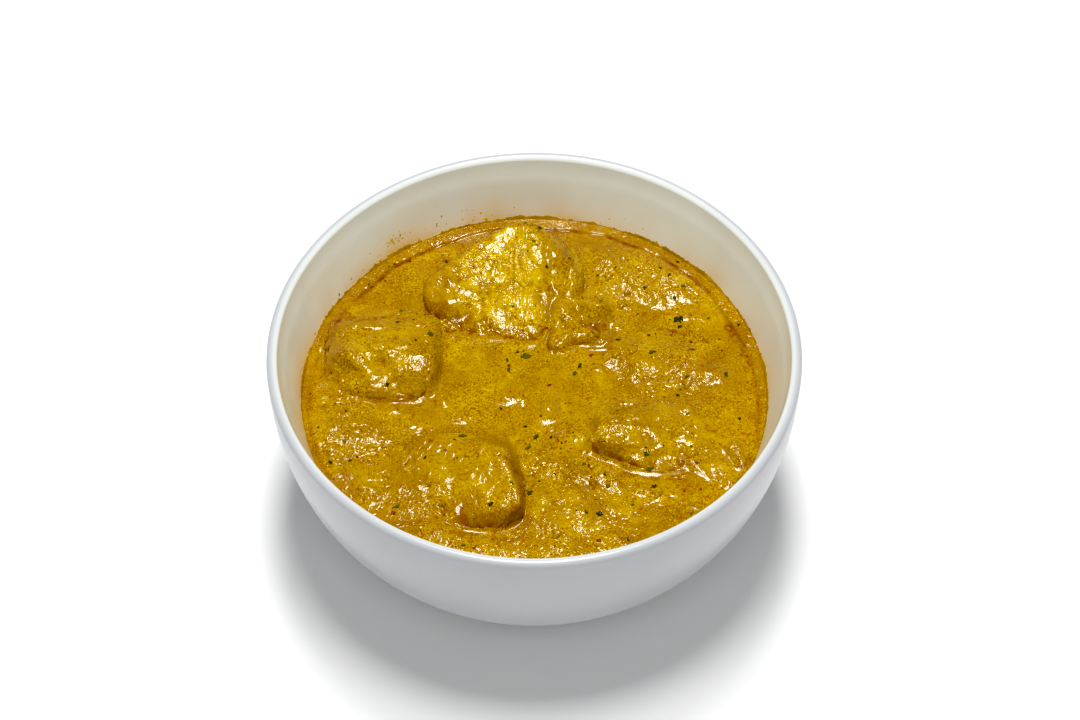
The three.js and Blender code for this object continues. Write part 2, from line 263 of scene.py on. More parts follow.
def ease(low, high, value):
    """0 below `low`, 1 above `high`, and 3t^2 - 2t^3 between."""
    t = np.clip((value - low) / (high - low), 0, 1)
    return t * t * (3 - 2 * t)


def noise(points, cell, seed=0):
    """Gradient noise between about -1 and 1, one value for each row of `points`.

    Space is cut into cubes `cell` wide. Each corner has a random slope, and the values of the
    eight slopes round a point are blended with the weights 6t^5 - 15t^4 + 10t^3.
    """
    scaled = points / cell + 11.7 * seed
    corner = np.floor(scaled).astype(np.int64)
    t = scaled - corner
    blend = t * t * t * (t * (6 * t - 15) + 10)
    total = np.zeros(len(points))
    for step in np.ndindex(2, 2, 2):
        i, j, k = ((corner + step) & 255).T
        slope = SLOPES[SHUFFLE[SHUFFLE[SHUFFLE[i] + j] + k]]
        weight = np.where(step, blend, 1 - blend).prod(axis=1)
        total += weight * ((t - step) * slope).sum(axis=1)
    return 1.6 * total


def layered(points, cell, layers, seed=0):
    """A sum of `layers` of noise, each half as wide and half as high as the one before."""
    return sum(noise(points, cell / 2**i, seed + i) / 2**i for i in range(layers))


def flat_points(x, y):
    """Places on the table as points in space."""
    return np.stack([x, y, np.zeros_like(x)], axis=-1)


def turned_points(radius, turn, height):
    """Points at a radius from the axis, an angle round it and a height."""
    parts = np.broadcast_arrays(radius * np.cos(turn), radius * np.sin(turn), height)
    return np.stack(parts, axis=-1).reshape(-1, 3)


def facing(turn, tilt):
    """The unit vector that faces `turn` degrees round from +X and `tilt` degrees up."""
    t, e = np.radians(turn), np.radians(tilt)
    return np.stack([np.cos(e) * np.cos(t), np.cos(e) * np.sin(t), np.sin(e)], axis=-1)


def lobes(direction, table):
    """A sum of exponential bumps over the sphere of directions, from a table of turn, tilt,
    amount and how narrow."""
    total = np.zeros(len(direction))
    for turn, tilt, amount, narrowness in table:
        total += amount * np.exp(narrowness * (direction @ facing(turn, tilt) - 1))
    return total


# ---- meshes and materials


def mesh_object(name, points, quads, triangles=None, **attributes):
    """A smooth mesh from points in mm. Each attribute holds one number for each point."""
    triangles = np.zeros((0, 3), int) if triangles is None else triangles
    mesh = bpy.data.meshes.new(name)
    mesh.vertices.add(len(points))
    mesh.vertices.foreach_set("co", (np.asarray(points) * MM).astype(np.float32).ravel())
    loops = np.concatenate([quads.ravel(), triangles.ravel()]).astype(np.int32)
    sizes = np.concatenate([np.full(len(quads), 4), np.full(len(triangles), 3)])
    mesh.loops.add(len(loops))
    mesh.loops.foreach_set("vertex_index", loops)
    mesh.polygons.add(len(sizes))
    mesh.polygons.foreach_set("loop_start", (np.cumsum(sizes) - sizes).astype(np.int32))
    mesh.polygons.foreach_set("use_smooth", np.ones(len(sizes), bool))
    mesh.update(calc_edges=True)
    for key, values in attributes.items():
        layer = mesh.attributes.new(key, "FLOAT", "POINT")
        layer.data.foreach_set("value", np.asarray(values, np.float32).ravel())
    piece = bpy.data.objects.new(name, mesh)
    bpy.context.scene.collection.objects.link(piece)
    return piece


def grid_quads(rows, columns, closed=False):
    """Faces of a grid of points laid out row by row. A closed grid joins its last column to its
    first. Rows that climb while columns turn anticlockwise give faces that point outwards."""
    index = np.arange(rows * columns).reshape(rows, columns)
    if closed:
        index = np.concatenate([index, index[:, :1]], axis=1)
    low, high = index[:-1], index[1:]
    return np.stack([low[:, :-1], low[:, 1:], high[:, 1:], high[:, :-1]], axis=-1).reshape(-1, 4)


def grid_border(rows, columns):
    """Indices of a grid's outer points, in order round it."""
    index = np.arange(rows * columns).reshape(rows, columns)
    return np.concatenate([index[0, :-1], index[:-1, -1], index[-1, :0:-1], index[:0:-1, 0]])


def belt(lower, upper):
    """Faces between two closed rings of points."""
    return np.stack([lower, np.roll(lower, -1), np.roll(upper, -1), upper], axis=-1)


def fan(ring, tip):
    """Triangles from each edge of a closed ring to one point."""
    return np.stack([ring, np.roll(ring, -1), np.full(len(ring), tip)], axis=-1)


def turned_faces(rows, columns):
    """Faces of a body of revolution: rows of points from the lower tip to the upper tip, then
    the lower tip and the upper tip themselves as the last two points."""
    index = np.arange(rows * columns).reshape(rows, columns)
    low_tip, high_tip = rows * columns, rows * columns + 1
    tips = np.concatenate([fan(index[0], low_tip)[:, ::-1], fan(index[-1], high_tip)])
    return grid_quads(rows, columns, closed=True), tips


def finish_piece(piece, material, replaced=()):
    """Give a piece its material, its body and the plain solids that it replaces."""
    piece.data.materials.append(material)
    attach(piece, "root")
    if replaced:
        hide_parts(*replaced)


class Shader:
    """Short ways to build a node material round one Principled shader."""

    def __init__(self, name, **sockets):
        self.material = bpy.data.materials.new(name)
        self.material.use_nodes = True
        self.tree = self.material.node_tree
        self.surface = self.tree.nodes["Principled BSDF"]
        for socket, value in sockets.items():
            self.surface.inputs[socket.replace("_", " ")].default_value = value
        self.place = self.add("ShaderNodeTexCoord").outputs["Object"]

    def add(self, kind, inputs=None, **settings):
        node = self.tree.nodes.new(kind)
        for key, value in settings.items():
            setattr(node, key, value)
        for key, value in (inputs or {}).items():
            if isinstance(value, bpy.types.NodeSocket):
                self.tree.links.new(value, node.inputs[key])
            else:
                node.inputs[key].default_value = value
        return node

    def link(self, socket, name):
        self.tree.links.new(socket, self.surface.inputs[name])

    def attribute(self, name):
        return self.add("ShaderNodeAttribute", attribute_name=name).outputs["Fac"]

    def noise(self, size, detail=2.0, roughness=0.5, distortion=0.0):
        """Noise with features about `size` mm wide, drawn into squiggles by `distortion`."""
        inputs = {"Vector": self.place, "Scale": 1 / (size * MM), "Detail": detail,
                  "Roughness": roughness, "Distortion": distortion}
        return self.add("ShaderNodeTexNoise", inputs).outputs["Fac"]

    def span(self, value, low, high, start=0.0, end=1.0):
        """`start` where the value is below `low`, `end` above `high`, and smooth between."""
        inputs = {"Value": value, "From Min": low, "From Max": high, "To Min": start,
                  "To Max": end}
        return self.add("ShaderNodeMapRange", inputs, interpolation_type="SMOOTHSTEP").outputs[0]

    def maths(self, operation, a, b):
        return self.add("ShaderNodeMath", {0: a, 1: b}, operation=operation).outputs[0]

    def times(self, a, b):
        return self.maths("MULTIPLY", a, b)

    def mix(self, factor, first, second, blend="MIX"):
        """A mix of two colours, each a socket or three numbers."""
        def colour(value):
            return value if isinstance(value, bpy.types.NodeSocket) else (*value, 1.0)

        inputs = {0: factor, 6: colour(first), 7: colour(second)}
        return self.add("ShaderNodeMix", inputs, data_type="RGBA", blend_type=blend).outputs[2]

    def dots(self, spacing, size, share):
        """Round specks `size` across in cells `spacing` wide, in a `share` of the cells."""
        cells = self.add("ShaderNodeTexVoronoi",
                         {"Vector": self.place, "Scale": 1 / (spacing * MM)})
        reach = size / spacing / 2
        there = self.span(cells.outputs["Distance"], 0.6 * reach, reach, 1.0, 0.0)
        channels = self.add("ShaderNodeSeparateColor", {"Color": cells.outputs["Color"]})
        chosen = self.span(channels.outputs["Red"], share, share + 0.01, 1.0, 0.0)
        return self.times(there, chosen)

    def bump(self, height, distance, normal=None):
        """`distance` mm of relief for a height of 1."""
        inputs = {"Height": height, "Distance": distance * MM, "Strength": 1.0}
        if normal:
            inputs["Normal"] = normal
        return self.add("ShaderNodeBump", inputs).outputs["Normal"]


# ---- bowl


def wall_profile(wall, shares):
    """Radius and height along a superellipse wall. Share 0 is level with the rim and share 1 is
    on the axis: the drop is depth * sin^(2/power), and the radius, less a taper that grows with
    the drop, is multiplied by cos^(2/power)."""
    angle = shares * math.pi / 2
    down = wall["depth"] * np.sin(angle) ** (2 / wall["power"])
    across = np.maximum(np.cos(angle), 0) ** (2 / wall["power"])
    return (wall["radius"] - wall["taper"] * down) * across, BOWL_HEIGHT - down


def inside_radius(z):
    """Radius of the bowl's inside at a height."""
    down = BOWL_HEIGHT - np.asarray(z, float)
    share = np.clip(down / INNER_WALL["depth"], 0, 1)
    shrink = (1 - share ** INNER_WALL["power"]) ** (1 / INNER_WALL["power"])
    return (INNER_WALL["radius"] - INNER_WALL["taper"] * down) * shrink


def to_wall(x, y):
    """Distance to the bowl's inside, level with the waterline."""
    return np.maximum(0, inside_radius(WATERLINE) - np.hypot(x, y))


def outside_height(radius):
    """Height of the bowl's outside at a radius."""
    share = (radius / OUTER_WALL["radius"]) ** OUTER_WALL["power"]
    return BOWL_HEIGHT - OUTER_WALL["depth"] * (1 - share) ** (1 / OUTER_WALL["power"])


def arc(centre, radii, start, end, steps):
    """Points of an elliptical arc from `start` to `end` degrees, as radius and height."""
    angle = np.radians(np.linspace(start, end, steps))
    return centre[0] + radii[0] * np.cos(angle), centre[1] + radii[1] * np.sin(angle)


def bowl_profile():
    """The bowl's outline from the middle of its underside, out over the foot ring, up the
    outside, over the rounded lip and down the inside to the middle of its floor."""
    foot_inner = FOOT_OUTER_RADIUS - FOOT_WIDTH
    soft = FOOT_ROUNDING
    lip_foot = BOWL_HEIGHT - LIP_ROUNDING
    half_lip = LIP_THICKNESS / 2
    wall_start = FOOT_OUTER_RADIUS + FOOT_FILLET
    start_height = float(outside_height(wall_start))
    under = np.linspace(4, foot_inner - 2 * soft, 10)
    sections = [
        (under, np.full(len(under), UNDERSIDE_HEIGHT)),
        arc((foot_inner - 2 * soft, UNDERSIDE_HEIGHT - soft), (soft, soft), 80, 10, 5),
        arc((foot_inner + soft, soft), (soft, soft), 190, 270, 6),
        arc((FOOT_OUTER_RADIUS - soft, soft), (soft, soft), 280, 350, 6),
        arc((wall_start, start_height - FOOT_FILLET), (FOOT_FILLET, FOOT_FILLET), 175, 115, 7),
    ]
    radius, height = wall_profile(OUTER_WALL, np.linspace(1, 0, 90))
    kept = (radius > wall_start + 0.8) & (height < lip_foot)
    sections.append((radius[kept], height[kept]))
    sections.append(arc((RIM_RADIUS - half_lip, lip_foot), (half_lip, LIP_ROUNDING), 0, 180, 17))
    radius, height = wall_profile(INNER_WALL, np.linspace(0, 1, 90)[:-1])
    kept = height < lip_foot - 0.6
    sections.append((radius[kept], height[kept]))
    return tuple(np.concatenate(parts) for parts in zip(*sections))


def stain_and_bounce_on_wall(points):
    """How strongly the wall is tinted: partly a real stain of curry, partly painted warm bounce
    light from the curry. Two exponentials fade with the height above the waterline, times a noise
    drawn out up and down, a little more at the left. Only inside."""
    x, y, z = points.T
    inside = np.hypot(x, y) < inside_radius(z) + 0.6
    patches = 0.75 + 0.45 * layered(points * (1, 1, 0.6), 16, 3, seed=3)
    above = np.maximum(z - WATERLINE - 0.9, 0)
    film = (0.15 * np.exp(-above / 3.0) + 0.6 * np.exp(-above / 8.5)) * patches
    film *= 1 - 0.3 * x / RIM_RADIUS
    return np.where(inside & (z > WATERLINE - 3), np.clip(film, 0, 1), 0.0)


def porcelain(settings):
    shader = Shader("white_glazed_porcelain", Roughness=0.28, IOR=1.5, Coat_Weight=0.1,
                    Coat_Roughness=0.1)
    tone = shader.span(shader.noise(22, 3), 0.3, 0.7)
    # Painted shade: the outside and the outer part of the lip get the darker outside colour.
    glaze = shader.mix(shader.attribute("inside"), settings.outside, settings.glaze)
    glaze = shader.mix(tone, shader.mix(1.0, glaze, (0.955, 0.955, 0.955), "MULTIPLY"), glaze)
    pits = shader.dots(2.6, 0.22, 0.05)
    glaze = shader.mix(shader.times(pits, 0.35), glaze, (0.32, 0.28, 0.22))
    # Painted warm bounce light from the curry, mixed with a real stain, tints the wall above the
    # waterline.
    film = shader.attribute("film")
    glaze = shader.mix(film, glaze, settings.stain)
    clay = shader.attribute("clay")
    grain = shader.span(shader.noise(0.5, 3), 0.35, 0.65)
    rough_clay = shader.mix(grain, tuple(0.86 * c for c in settings.clay), settings.clay)
    shader.link(shader.mix(clay, glaze, rough_clay), "Base Color")
    shader.link(shader.span(clay, 0.2, 0.8, 0.28, 0.75), "Roughness")
    ripple = shader.bump(shader.noise(9, 2), 0.05)
    shader.link(shader.bump(shader.times(clay, grain), 0.06, ripple), "Normal")
    return shader.material


def make_bowl(settings):
    """The turned shell, with a slow wave in its wall that dies out at the rim and the foot."""
    radius, height = bowl_profile()
    columns = 320
    turn = np.linspace(0, 2 * math.pi, columns, endpoint=False)
    loose = np.sin(math.pi * np.clip((height - 4) / (BOWL_HEIGHT - 6), 0, 1))
    wave = settings.wave / MM * np.outer(loose, np.sin(3 * turn + 0.6) + 0.6 * np.sin(7 * turn))
    r = radius[:, None] + np.where(radius[:, None] > FOOT_OUTER_RADIUS, wave, 0)
    ring = turned_points(r, turn, height[:, None])
    floor = BOWL_HEIGHT - INNER_WALL["depth"]
    points = np.concatenate([ring, [(0, 0, UNDERSIDE_HEIGHT), (0, 0, floor)]])
    quads, tips = turned_faces(len(radius), columns)
    x, y, z = points.T
    on_foot = ease(0.9, 0.5, z) * (np.hypot(x, y) < FOOT_OUTER_RADIUS + 1)
    # `inside` is 0 on the outside and blends across the lip, where the darker outside colour is
    # painted shade.
    inside = ease(RIM_RADIUS - 1.2, RIM_RADIUS - 3.2, np.hypot(x, y)) * (
        np.hypot(x, y) < inside_radius(z) + 2.4)
    piece = mesh_object("porcelain_bowl", points, quads, tips, film=stain_and_bounce_on_wall(points),
                        clay=on_foot, inside=inside)
    finish_piece(piece, porcelain(settings), ["bowl"])


# ---- chicken, the shape


def waves(direction, scale, seed):
    """Nine sine waves over the sphere of directions, along axes spread by the golden angle."""
    count = 9
    total = np.zeros(len(direction))
    for i in range(count):
        z = 1 - 2 * (i + 0.5) / count
        turn = GOLDEN_ANGLE * (i + 1 + seed)
        r = math.sqrt(1 - z * z)
        axis = np.array([r * math.cos(turn), r * math.sin(turn), z])
        length = scale * (0.75 + 0.5 * ((i * 0.618) % 1))
        total += np.sin(length * (direction @ axis) + 1.7 * i + seed)
    return total / math.sqrt(count)


def solid_reach(piece, direction):
    """How far the plain solid reaches from its centre in each direction. Each flat side bounds
    the reach at distance / cosine, and a power mean of these bounds rounds the edges between
    them. Knobs add exponential bumps, and waves add unevenness."""
    sunk = [(90 * i, SUNK_SIDE_TILT, d) for i, d in enumerate(piece["girth"])]
    total = np.zeros(len(direction))
    for turn, tilt, distance in piece["faces"] + sunk:
        total += np.maximum(0, direction @ facing(turn, tilt) / distance) ** piece["sharpness"]
    reach = total ** (-1 / piece["sharpness"]) + lobes(direction, piece["knobs"])
    height, scale = piece["unevenness"]
    return reach + height * waves(direction, scale, piece["centre"][0])


def solid_top(piece, x, y):
    """Height of a piece's upper side over each place, or minus infinity beside it. The height is
    found by halving, fifteen times, the stretch between the piece's centre and the rim."""
    top = np.full(len(x), -np.inf)
    offset = np.stack([x, y], axis=-1) - piece["centre"][:2]
    near = np.flatnonzero(np.hypot(*offset.T) < 30)
    offset = offset[near]
    low = np.full(len(near), float(piece["centre"][2]))
    high = np.full(len(near), BOWL_HEIGHT)

    def inside(z):
        ray = np.concatenate([offset, (z - piece["centre"][2])[:, None]], axis=1)
        length = np.linalg.norm(ray, axis=1)
        return length < solid_reach(piece, ray / np.maximum(length, 1e-6)[:, None])

    under = inside(low + 0.01)
    for _ in range(15):
        middle = (low + high) / 2
        within = inside(middle)
        low, high = np.where(within, middle, low), np.where(within, high, middle)
    top[near] = np.where(under, low, -np.inf)
    return top


def level_radius(piece, turns, level):
    """Radius of a piece's level section at a height, for each turn, found by halving."""
    low, high = np.full(len(turns), 2.0), np.full(len(turns), 32.0)
    rise = level - piece["centre"][2]
    for _ in range(18):
        middle = (low + high) / 2
        ray = turned_points(middle, turns, rise)
        length = np.linalg.norm(ray, axis=1)
        within = length < solid_reach(piece, ray / length[:, None])
        low, high = np.where(within, middle, low), np.where(within, high, middle)
    return (low + high) / 2


# ---- curry, the shape

# Where the curry's top is busy with lumps, and where it lies calm: place, radius, strength
STIRRED = [
    ((15, -47), 20, 0.9), ((38, 8), 17, 0.8), ((-50, -16), 13, 1.0), ((30, 44), 17, 0.9),
    ((-34, -46), 14, 0.8), ((50, -22), 12, 0.5), ((2, -22), 10, 0.5), ((-12, -56), 12, 0.9),
    ((-14, 10), 12, -0.6), ((18, 3), 11, -0.2), ((-40, 36), 12, -0.5), ((38, 30), 9, -0.5),
]
# Where the sauce is darker: place, radius, strength
DARKER = [((54, 6), 13, 0.5), ((-38, -40), 13, 0.55), ((-46, 38), 12, 0.35)]
# Small ridges of lumpy sauce that catch the light: from, to, width, height
RIDGES = [
    ((20, 50), (30, 40.5), 3.0, 1.1), ((30, 40.5), (36, 35), 2.6, 1.0),
    ((17, 23), (27, 13.5), 3.0, 0.8), ((30, 11), (36, 8), 3.2, 0.8), ((36, 8), (53, 6), 3.0, 0.8),
    ((-56.5, -13.5), (-48, -12.5), 4.2, 1.4), ((-56, -7), (-50.5, -8.5), 2.8, 0.9),
    ((-30, 0.5), (-26.5, -3), 2.0, 0.7), ((-55, -28.5), (-45, -35), 3.0, 1.0),
    ((-38, -22), (-37, -30), 2.4, 0.9), ((-37, -35.5), (-34.5, -40.5), 2.2, 1.0),
    ((-11, -1.5), (-4, -3), 1.8, 0.6), ((13.5, -16.5), (18.5, -20), 2.0, 0.8),
    ((7.5, -27), (15.5, -31.5), 2.2, 0.9), ((19.5, -30.5), (23.5, -33), 2.0, 0.8),
    ((30.5, -34), (34, -36.5), 2.0, 0.8), ((2, -34), (3, -43.5), 2.4, 0.9),
    ((0.5, -44.5), (7, -49), 2.8, 1.2), ((5, -54), (8.5, -56.5), 2.0, 1.0),
    ((56, -20.5), (58.5, -24.5), 2.2, 0.9), ((52.5, -27.5), (54, -31.5), 2.0, 0.9),
    ((41.5, -2.5), (44, -9), 2.0, 0.7), ((34.5, 1), (37, -4.5), 2.0, 0.6),
]
# Red-brown oil on the curry: streaks from one place to another, width, strength
OIL_STREAKS = [
    ((37, 24.5), (51, 18.5), 0.8, 0.8), ((56, 25), (62, 10), 0.9, 0.8),
    ((-25, 22.8), (0, 19.5), 0.8, 0.9), ((-58, 25), (-36, 24.8), 0.8, 0.8),
    ((-27, 50), (-19, 44), 0.9, 0.6), ((-26, -49.5), (-6, -52), 1.0, 0.5),
    ((18, -28), (42, -31), 0.8, 0.6), ((-2, 0.5), (6, 2), 1.0, 0.3), ((58, 0), (63, -12), 0.8, 0.4),
]
WALL_NOISE_RADIUS = 66
LEDGE_HEIGHT = 0.45  # the sauce steps up to a ledge along the back wall, less along the front
LEDGE_WIDTH = 3.8
LEDGE_STEP = 0.6  # how far the step up to the ledge reaches
FILLET = 1.8  # where the sauce meets bare chicken
DRAPE = 5.5  # where it runs up over the chicken
COVER_THICKNESS = 0.3
# Sides of the chicken over which the sauce lies: turn from +X, how far from the centre it starts
COVERED = {
    "chicken_back": [(0, 9.0), (262, 16.5)],
    "chicken_left": [(92, 7.0), (180, 9.0), (0, 10.5)],
    "chicken_front": [(180, 10.0), (88, 2.0)],
    "chicken_right": [(90, 0.0), (30, 7.0), (165, 11.5)],
    "chicken_shred": [(60, 3.0)],
}
SAUCE_CELLS = 352  # along each side of the sauce's grid
SAUCE_ROOT = 0.15  # how far its edge goes into the wall
SKIRT_LEVELS = np.array([47.0, 43.0, 36.0, 27.0, 18.0, 12.0, 9.2])  # its sunk side and underside
SKIRT_TIP = 8.4


def line_distance(x, y, start, end):
    """Distance to the stretch of line from `start` to `end`."""
    line = np.subtract(end, start)
    along = ((x - start[0]) * line[0] + (y - start[1]) * line[1]) / (line @ line)
    along = np.clip(along, 0, 1)
    return np.hypot(x - start[0] - along * line[0], y - start[1] - along * line[1])


def ridges(x, y):
    """The highest of the ridges at each place: height * exp(-(distance / width)^2)."""
    each = [height * np.exp(-((line_distance(x, y, start, end) / width) ** 2))
            for start, end, width, height in RIDGES]
    return np.max(each, axis=0)


def spots(x, y, table):
    """A sum of round bell-shaped spots: each is strength * exp(-(distance / radius)^2)."""
    total = np.zeros_like(x)
    for (at_x, at_y), radius, strength in table:
        total += strength * np.exp(-((x - at_x) ** 2 + (y - at_y) ** 2) / radius**2)
    return total


def stirred(x, y):
    """How lumpy the curry's top is, from 0 to 1."""
    broad = 0.14 + spots(x, y, STIRRED) + 0.35 * noise(flat_points(x, y), 17, 5)
    return np.clip(broad + 0.9 * ridges(x, y), 0, 1)


def plain_height(x, y):
    """Height of the curry without its relief: the waterline and its soft swellings."""
    calm = np.minimum(1, to_wall(x, y) / 4)
    height = np.full(x.shape, WATERLINE)
    for at, reach, turn, rise in SWELLINGS:
        c, s = math.cos(math.radians(turn)), math.sin(math.radians(turn))
        along = ((x - at[0]) * c + (y - at[1]) * s) / reach[0]
        across = ((y - at[1]) * c - (x - at[0]) * s) / reach[1]
        height += calm * rise * np.exp(-(along**2) - across**2)
    distance = np.hypot(x - CRUMB["at"][0], y - CRUMB["at"][1]) / CRUMB["radius"]
    return height + CRUMB["height"] * np.exp(-(distance**3))


def waterline_gap(x, y):
    """The signed distance to the waterline of the nearest piece of chicken, negative inside, and
    how far the sauce covers that piece there, from 0 to 1."""
    nearest = np.full(x.shape, 99.0)
    covered = np.zeros(x.shape)
    for name, piece in CHICKEN.items():
        distance, _ = to_waterline(piece, x, y)
        covered = np.where(distance < nearest, cover_share(name, x, y), covered)
        nearest = np.minimum(nearest, distance)
    return nearest, covered


def to_waterline(piece, x, y):
    """The signed distance to a piece's waterline and the steepness of its side there."""
    turns = np.linspace(-math.pi, math.pi, 721)
    offset_x, offset_y = x - piece["centre"][0], y - piece["centre"][1]
    edge = level_radius(piece, turns, WATERLINE)
    run = np.maximum(edge - level_radius(piece, turns, WATERLINE + 2), 0.1)
    turn = np.arctan2(offset_y, offset_x)
    distance = np.hypot(offset_x, offset_y) - np.interp(turn, turns, edge)
    return distance, np.interp(turn, turns, np.clip(2 / run, 0.5, 5))


def cover_share(name, x, y):
    """How far the sauce covers a piece of chicken, from 0 to 1: it runs up over the sides listed
    in COVERED, to a ragged edge."""
    centre = CHICKEN[name]["centre"]
    ragged = 1.6 * noise(flat_points(x, y), 6, 27)
    cover = np.zeros(x.shape)
    for side, start in COVERED[name]:
        t = math.radians(side)
        along = (x - centre[0]) * math.cos(t) + (y - centre[1]) * math.sin(t)
        cover = np.maximum(cover, ease(start, start + 3, along + ragged))
    return cover


def chicken_under(chicken, x, y):
    """Height of the chicken that the sauce drapes over. Inside the waterline it is the top of the
    skin, let in a little so that the skin stands proud, or covered by a film of sauce. Outside
    it goes on downwards at the slope that the piece has at the waterline."""
    height = np.zeros(x.shape)
    for name, piece in CHICKEN.items():
        distance, steep = to_waterline(piece, x, y)
        cover = cover_share(name, x, y)
        let_in = ease(0, 1.0, -distance) * (0.4 + 0.25 * steep) * (1 - cover)
        top = skin_top(chicken, name, x, y) - let_in + COVER_THICKNESS * cover
        height = np.maximum(height, np.where(distance < 0, top, WATERLINE - steep * distance))
    return height


def smooth_max(a, b, width):
    """The larger of two heights, with a round fillet where they differ by less than `width`."""
    share = np.clip(0.5 + 0.5 * (a - b) / width, 0, 1)
    return b + (a - b) * share + width * share * (1 - share)


def smoothness(x, y, gap, covered):
    """1 where the sauce is drawn smooth, at the ledge's foot and along bare chicken, else 0."""
    at_chicken = ease(2.2, 0.8, np.abs(gap)) * (1 - covered)
    return np.maximum(0.8 * np.exp(-((past_foot(x, y) + 0.2) / 0.7) ** 2), at_chicken)


def around_wall(turn):
    """Places round the wall at which noise is taken."""
    return turned_points(WALL_NOISE_RADIUS, turn, 0.0)


def ledge(turn):
    """Height and width of the ledge of sauce along the wall, at each angle round the bowl. It is
    high and wide at the back, low and narrow at the front, and made uneven by noise."""
    round_wall = around_wall(turn)
    back = ease(-0.5, 0.5, np.sin(turn))
    uneven = 1 + 0.3 * noise(round_wall, 13, 15) + 0.12 * noise(round_wall, 2.5, 28)
    high = LEDGE_HEIGHT * (0.2 + 0.8 * back) * uneven
    return high, LEDGE_WIDTH * (0.35 + 0.65 * back) * (1 + 0.22 * noise(round_wall, 9, 30))


def past_foot(x, y):
    """Distance inwards from the foot of the ledge, negative on the ledge."""
    return to_wall(x, y) - ledge(np.arctan2(y, x))[1]


def curry_height(settings, chicken, x, y):
    """Height of the curry's top. The swellings and a ledge at the wall are joined with a
    fillet to the chicken below, and soft lumps and grain are added. The lumps' noise is taken at
    places that are pushed about by a wider noise, which draws them into swirls."""
    points = flat_points(x, y)
    wall = to_wall(x, y)
    calm = ease(0, 3, wall)
    busy = stirred(x, y)
    lumps, grain = settings.lumps / MM, settings.grain / MM
    top, foot = ledge(np.arctan2(y, x))
    height = plain_height(x, y) + top * ease(foot, foot - LEDGE_STEP, wall)
    gap, covered = waterline_gap(x, y)
    push = flat_points(noise(points, 9, 16), noise(points, 9, 17))
    swirled = points + 2.6 * push
    uneven = 0.45 * layered(points, 19, 2, seed=9) + (0.2 + 0.45 * busy) * noise(swirled, 9, 18)
    height += calm * uneven
    bent = ridges(x + 1.2 * push[:, 0], y + 1.2 * push[:, 1])
    height += calm * bent * (0.8 + 0.5 * noise(points, 3.5, 29))
    fillet = FILLET + (DRAPE - FILLET) * covered
    height = smooth_max(chicken_under(chicken, x, y), height, fillet)
    blobs = ease(0.05, 0.8, noise(swirled, 6.0, 11))
    blobs += 0.7 * ease(0.1, 0.8, noise(swirled, 3.2, 12))
    rough = 0.15 + 0.85 * (1 - smoothness(x, y, gap, covered)) * ease(-2, 1, gap)
    height += rough * calm * lumps * (0.2 + 0.8 * busy) * blobs
    fine = noise(swirled, 1.7, 13) + 0.6 * noise(swirled, 0.95, 14)
    return height + grain * rough * (0.35 + 0.9 * busy) * fine


def disc_grid(count):
    """A square grid of (count + 1)^2 places pressed into a disc of radius 1. Rings of the square
    become circles, the angle runs evenly along each side, and the rings lie closer together
    towards the rim."""
    side = np.linspace(-1, 1, count + 1)
    a, b = (part.ravel() for part in np.meshgrid(side, side))
    wide = np.abs(a) > np.abs(b)
    safe_a, safe_b = np.where(a == 0, 1, a), np.where(b == 0, 1, b)
    radius = np.where(wide, a, b)
    angle = np.where(wide, math.pi / 4 * b / safe_a, math.pi / 2 - math.pi / 4 * a / safe_b)
    angle = np.where((a == 0) & (b == 0), 0, angle)
    radius = radius * (1.2 - 0.2 * radius**2)
    return radius * np.cos(angle), radius * np.sin(angle)


def streaks(x, y, table):
    """Soft lines: strength * exp(-(distance to the line / width)^2), made ragged by noise."""
    wobble = 1.1 * noise(flat_points(x, y), 3.5, 21)
    total = np.zeros_like(x)
    for start, end, width, strength in table:
        distance = line_distance(x, y, start, end)
        total += strength * np.exp(-(((distance + wobble) / width) ** 2))
    return total * ease(-0.5, 0.4, noise(flat_points(x, y), 1.4, 22))


# Coarse specks of spice: how far apart, how wide, in what share of the places, strength
SPECKS = [(0.8, 0.44, 0.4, 0.8), (1.6, 0.55, 0.35, 0.9), (3.6, 0.75, 0.25, 0.9)]


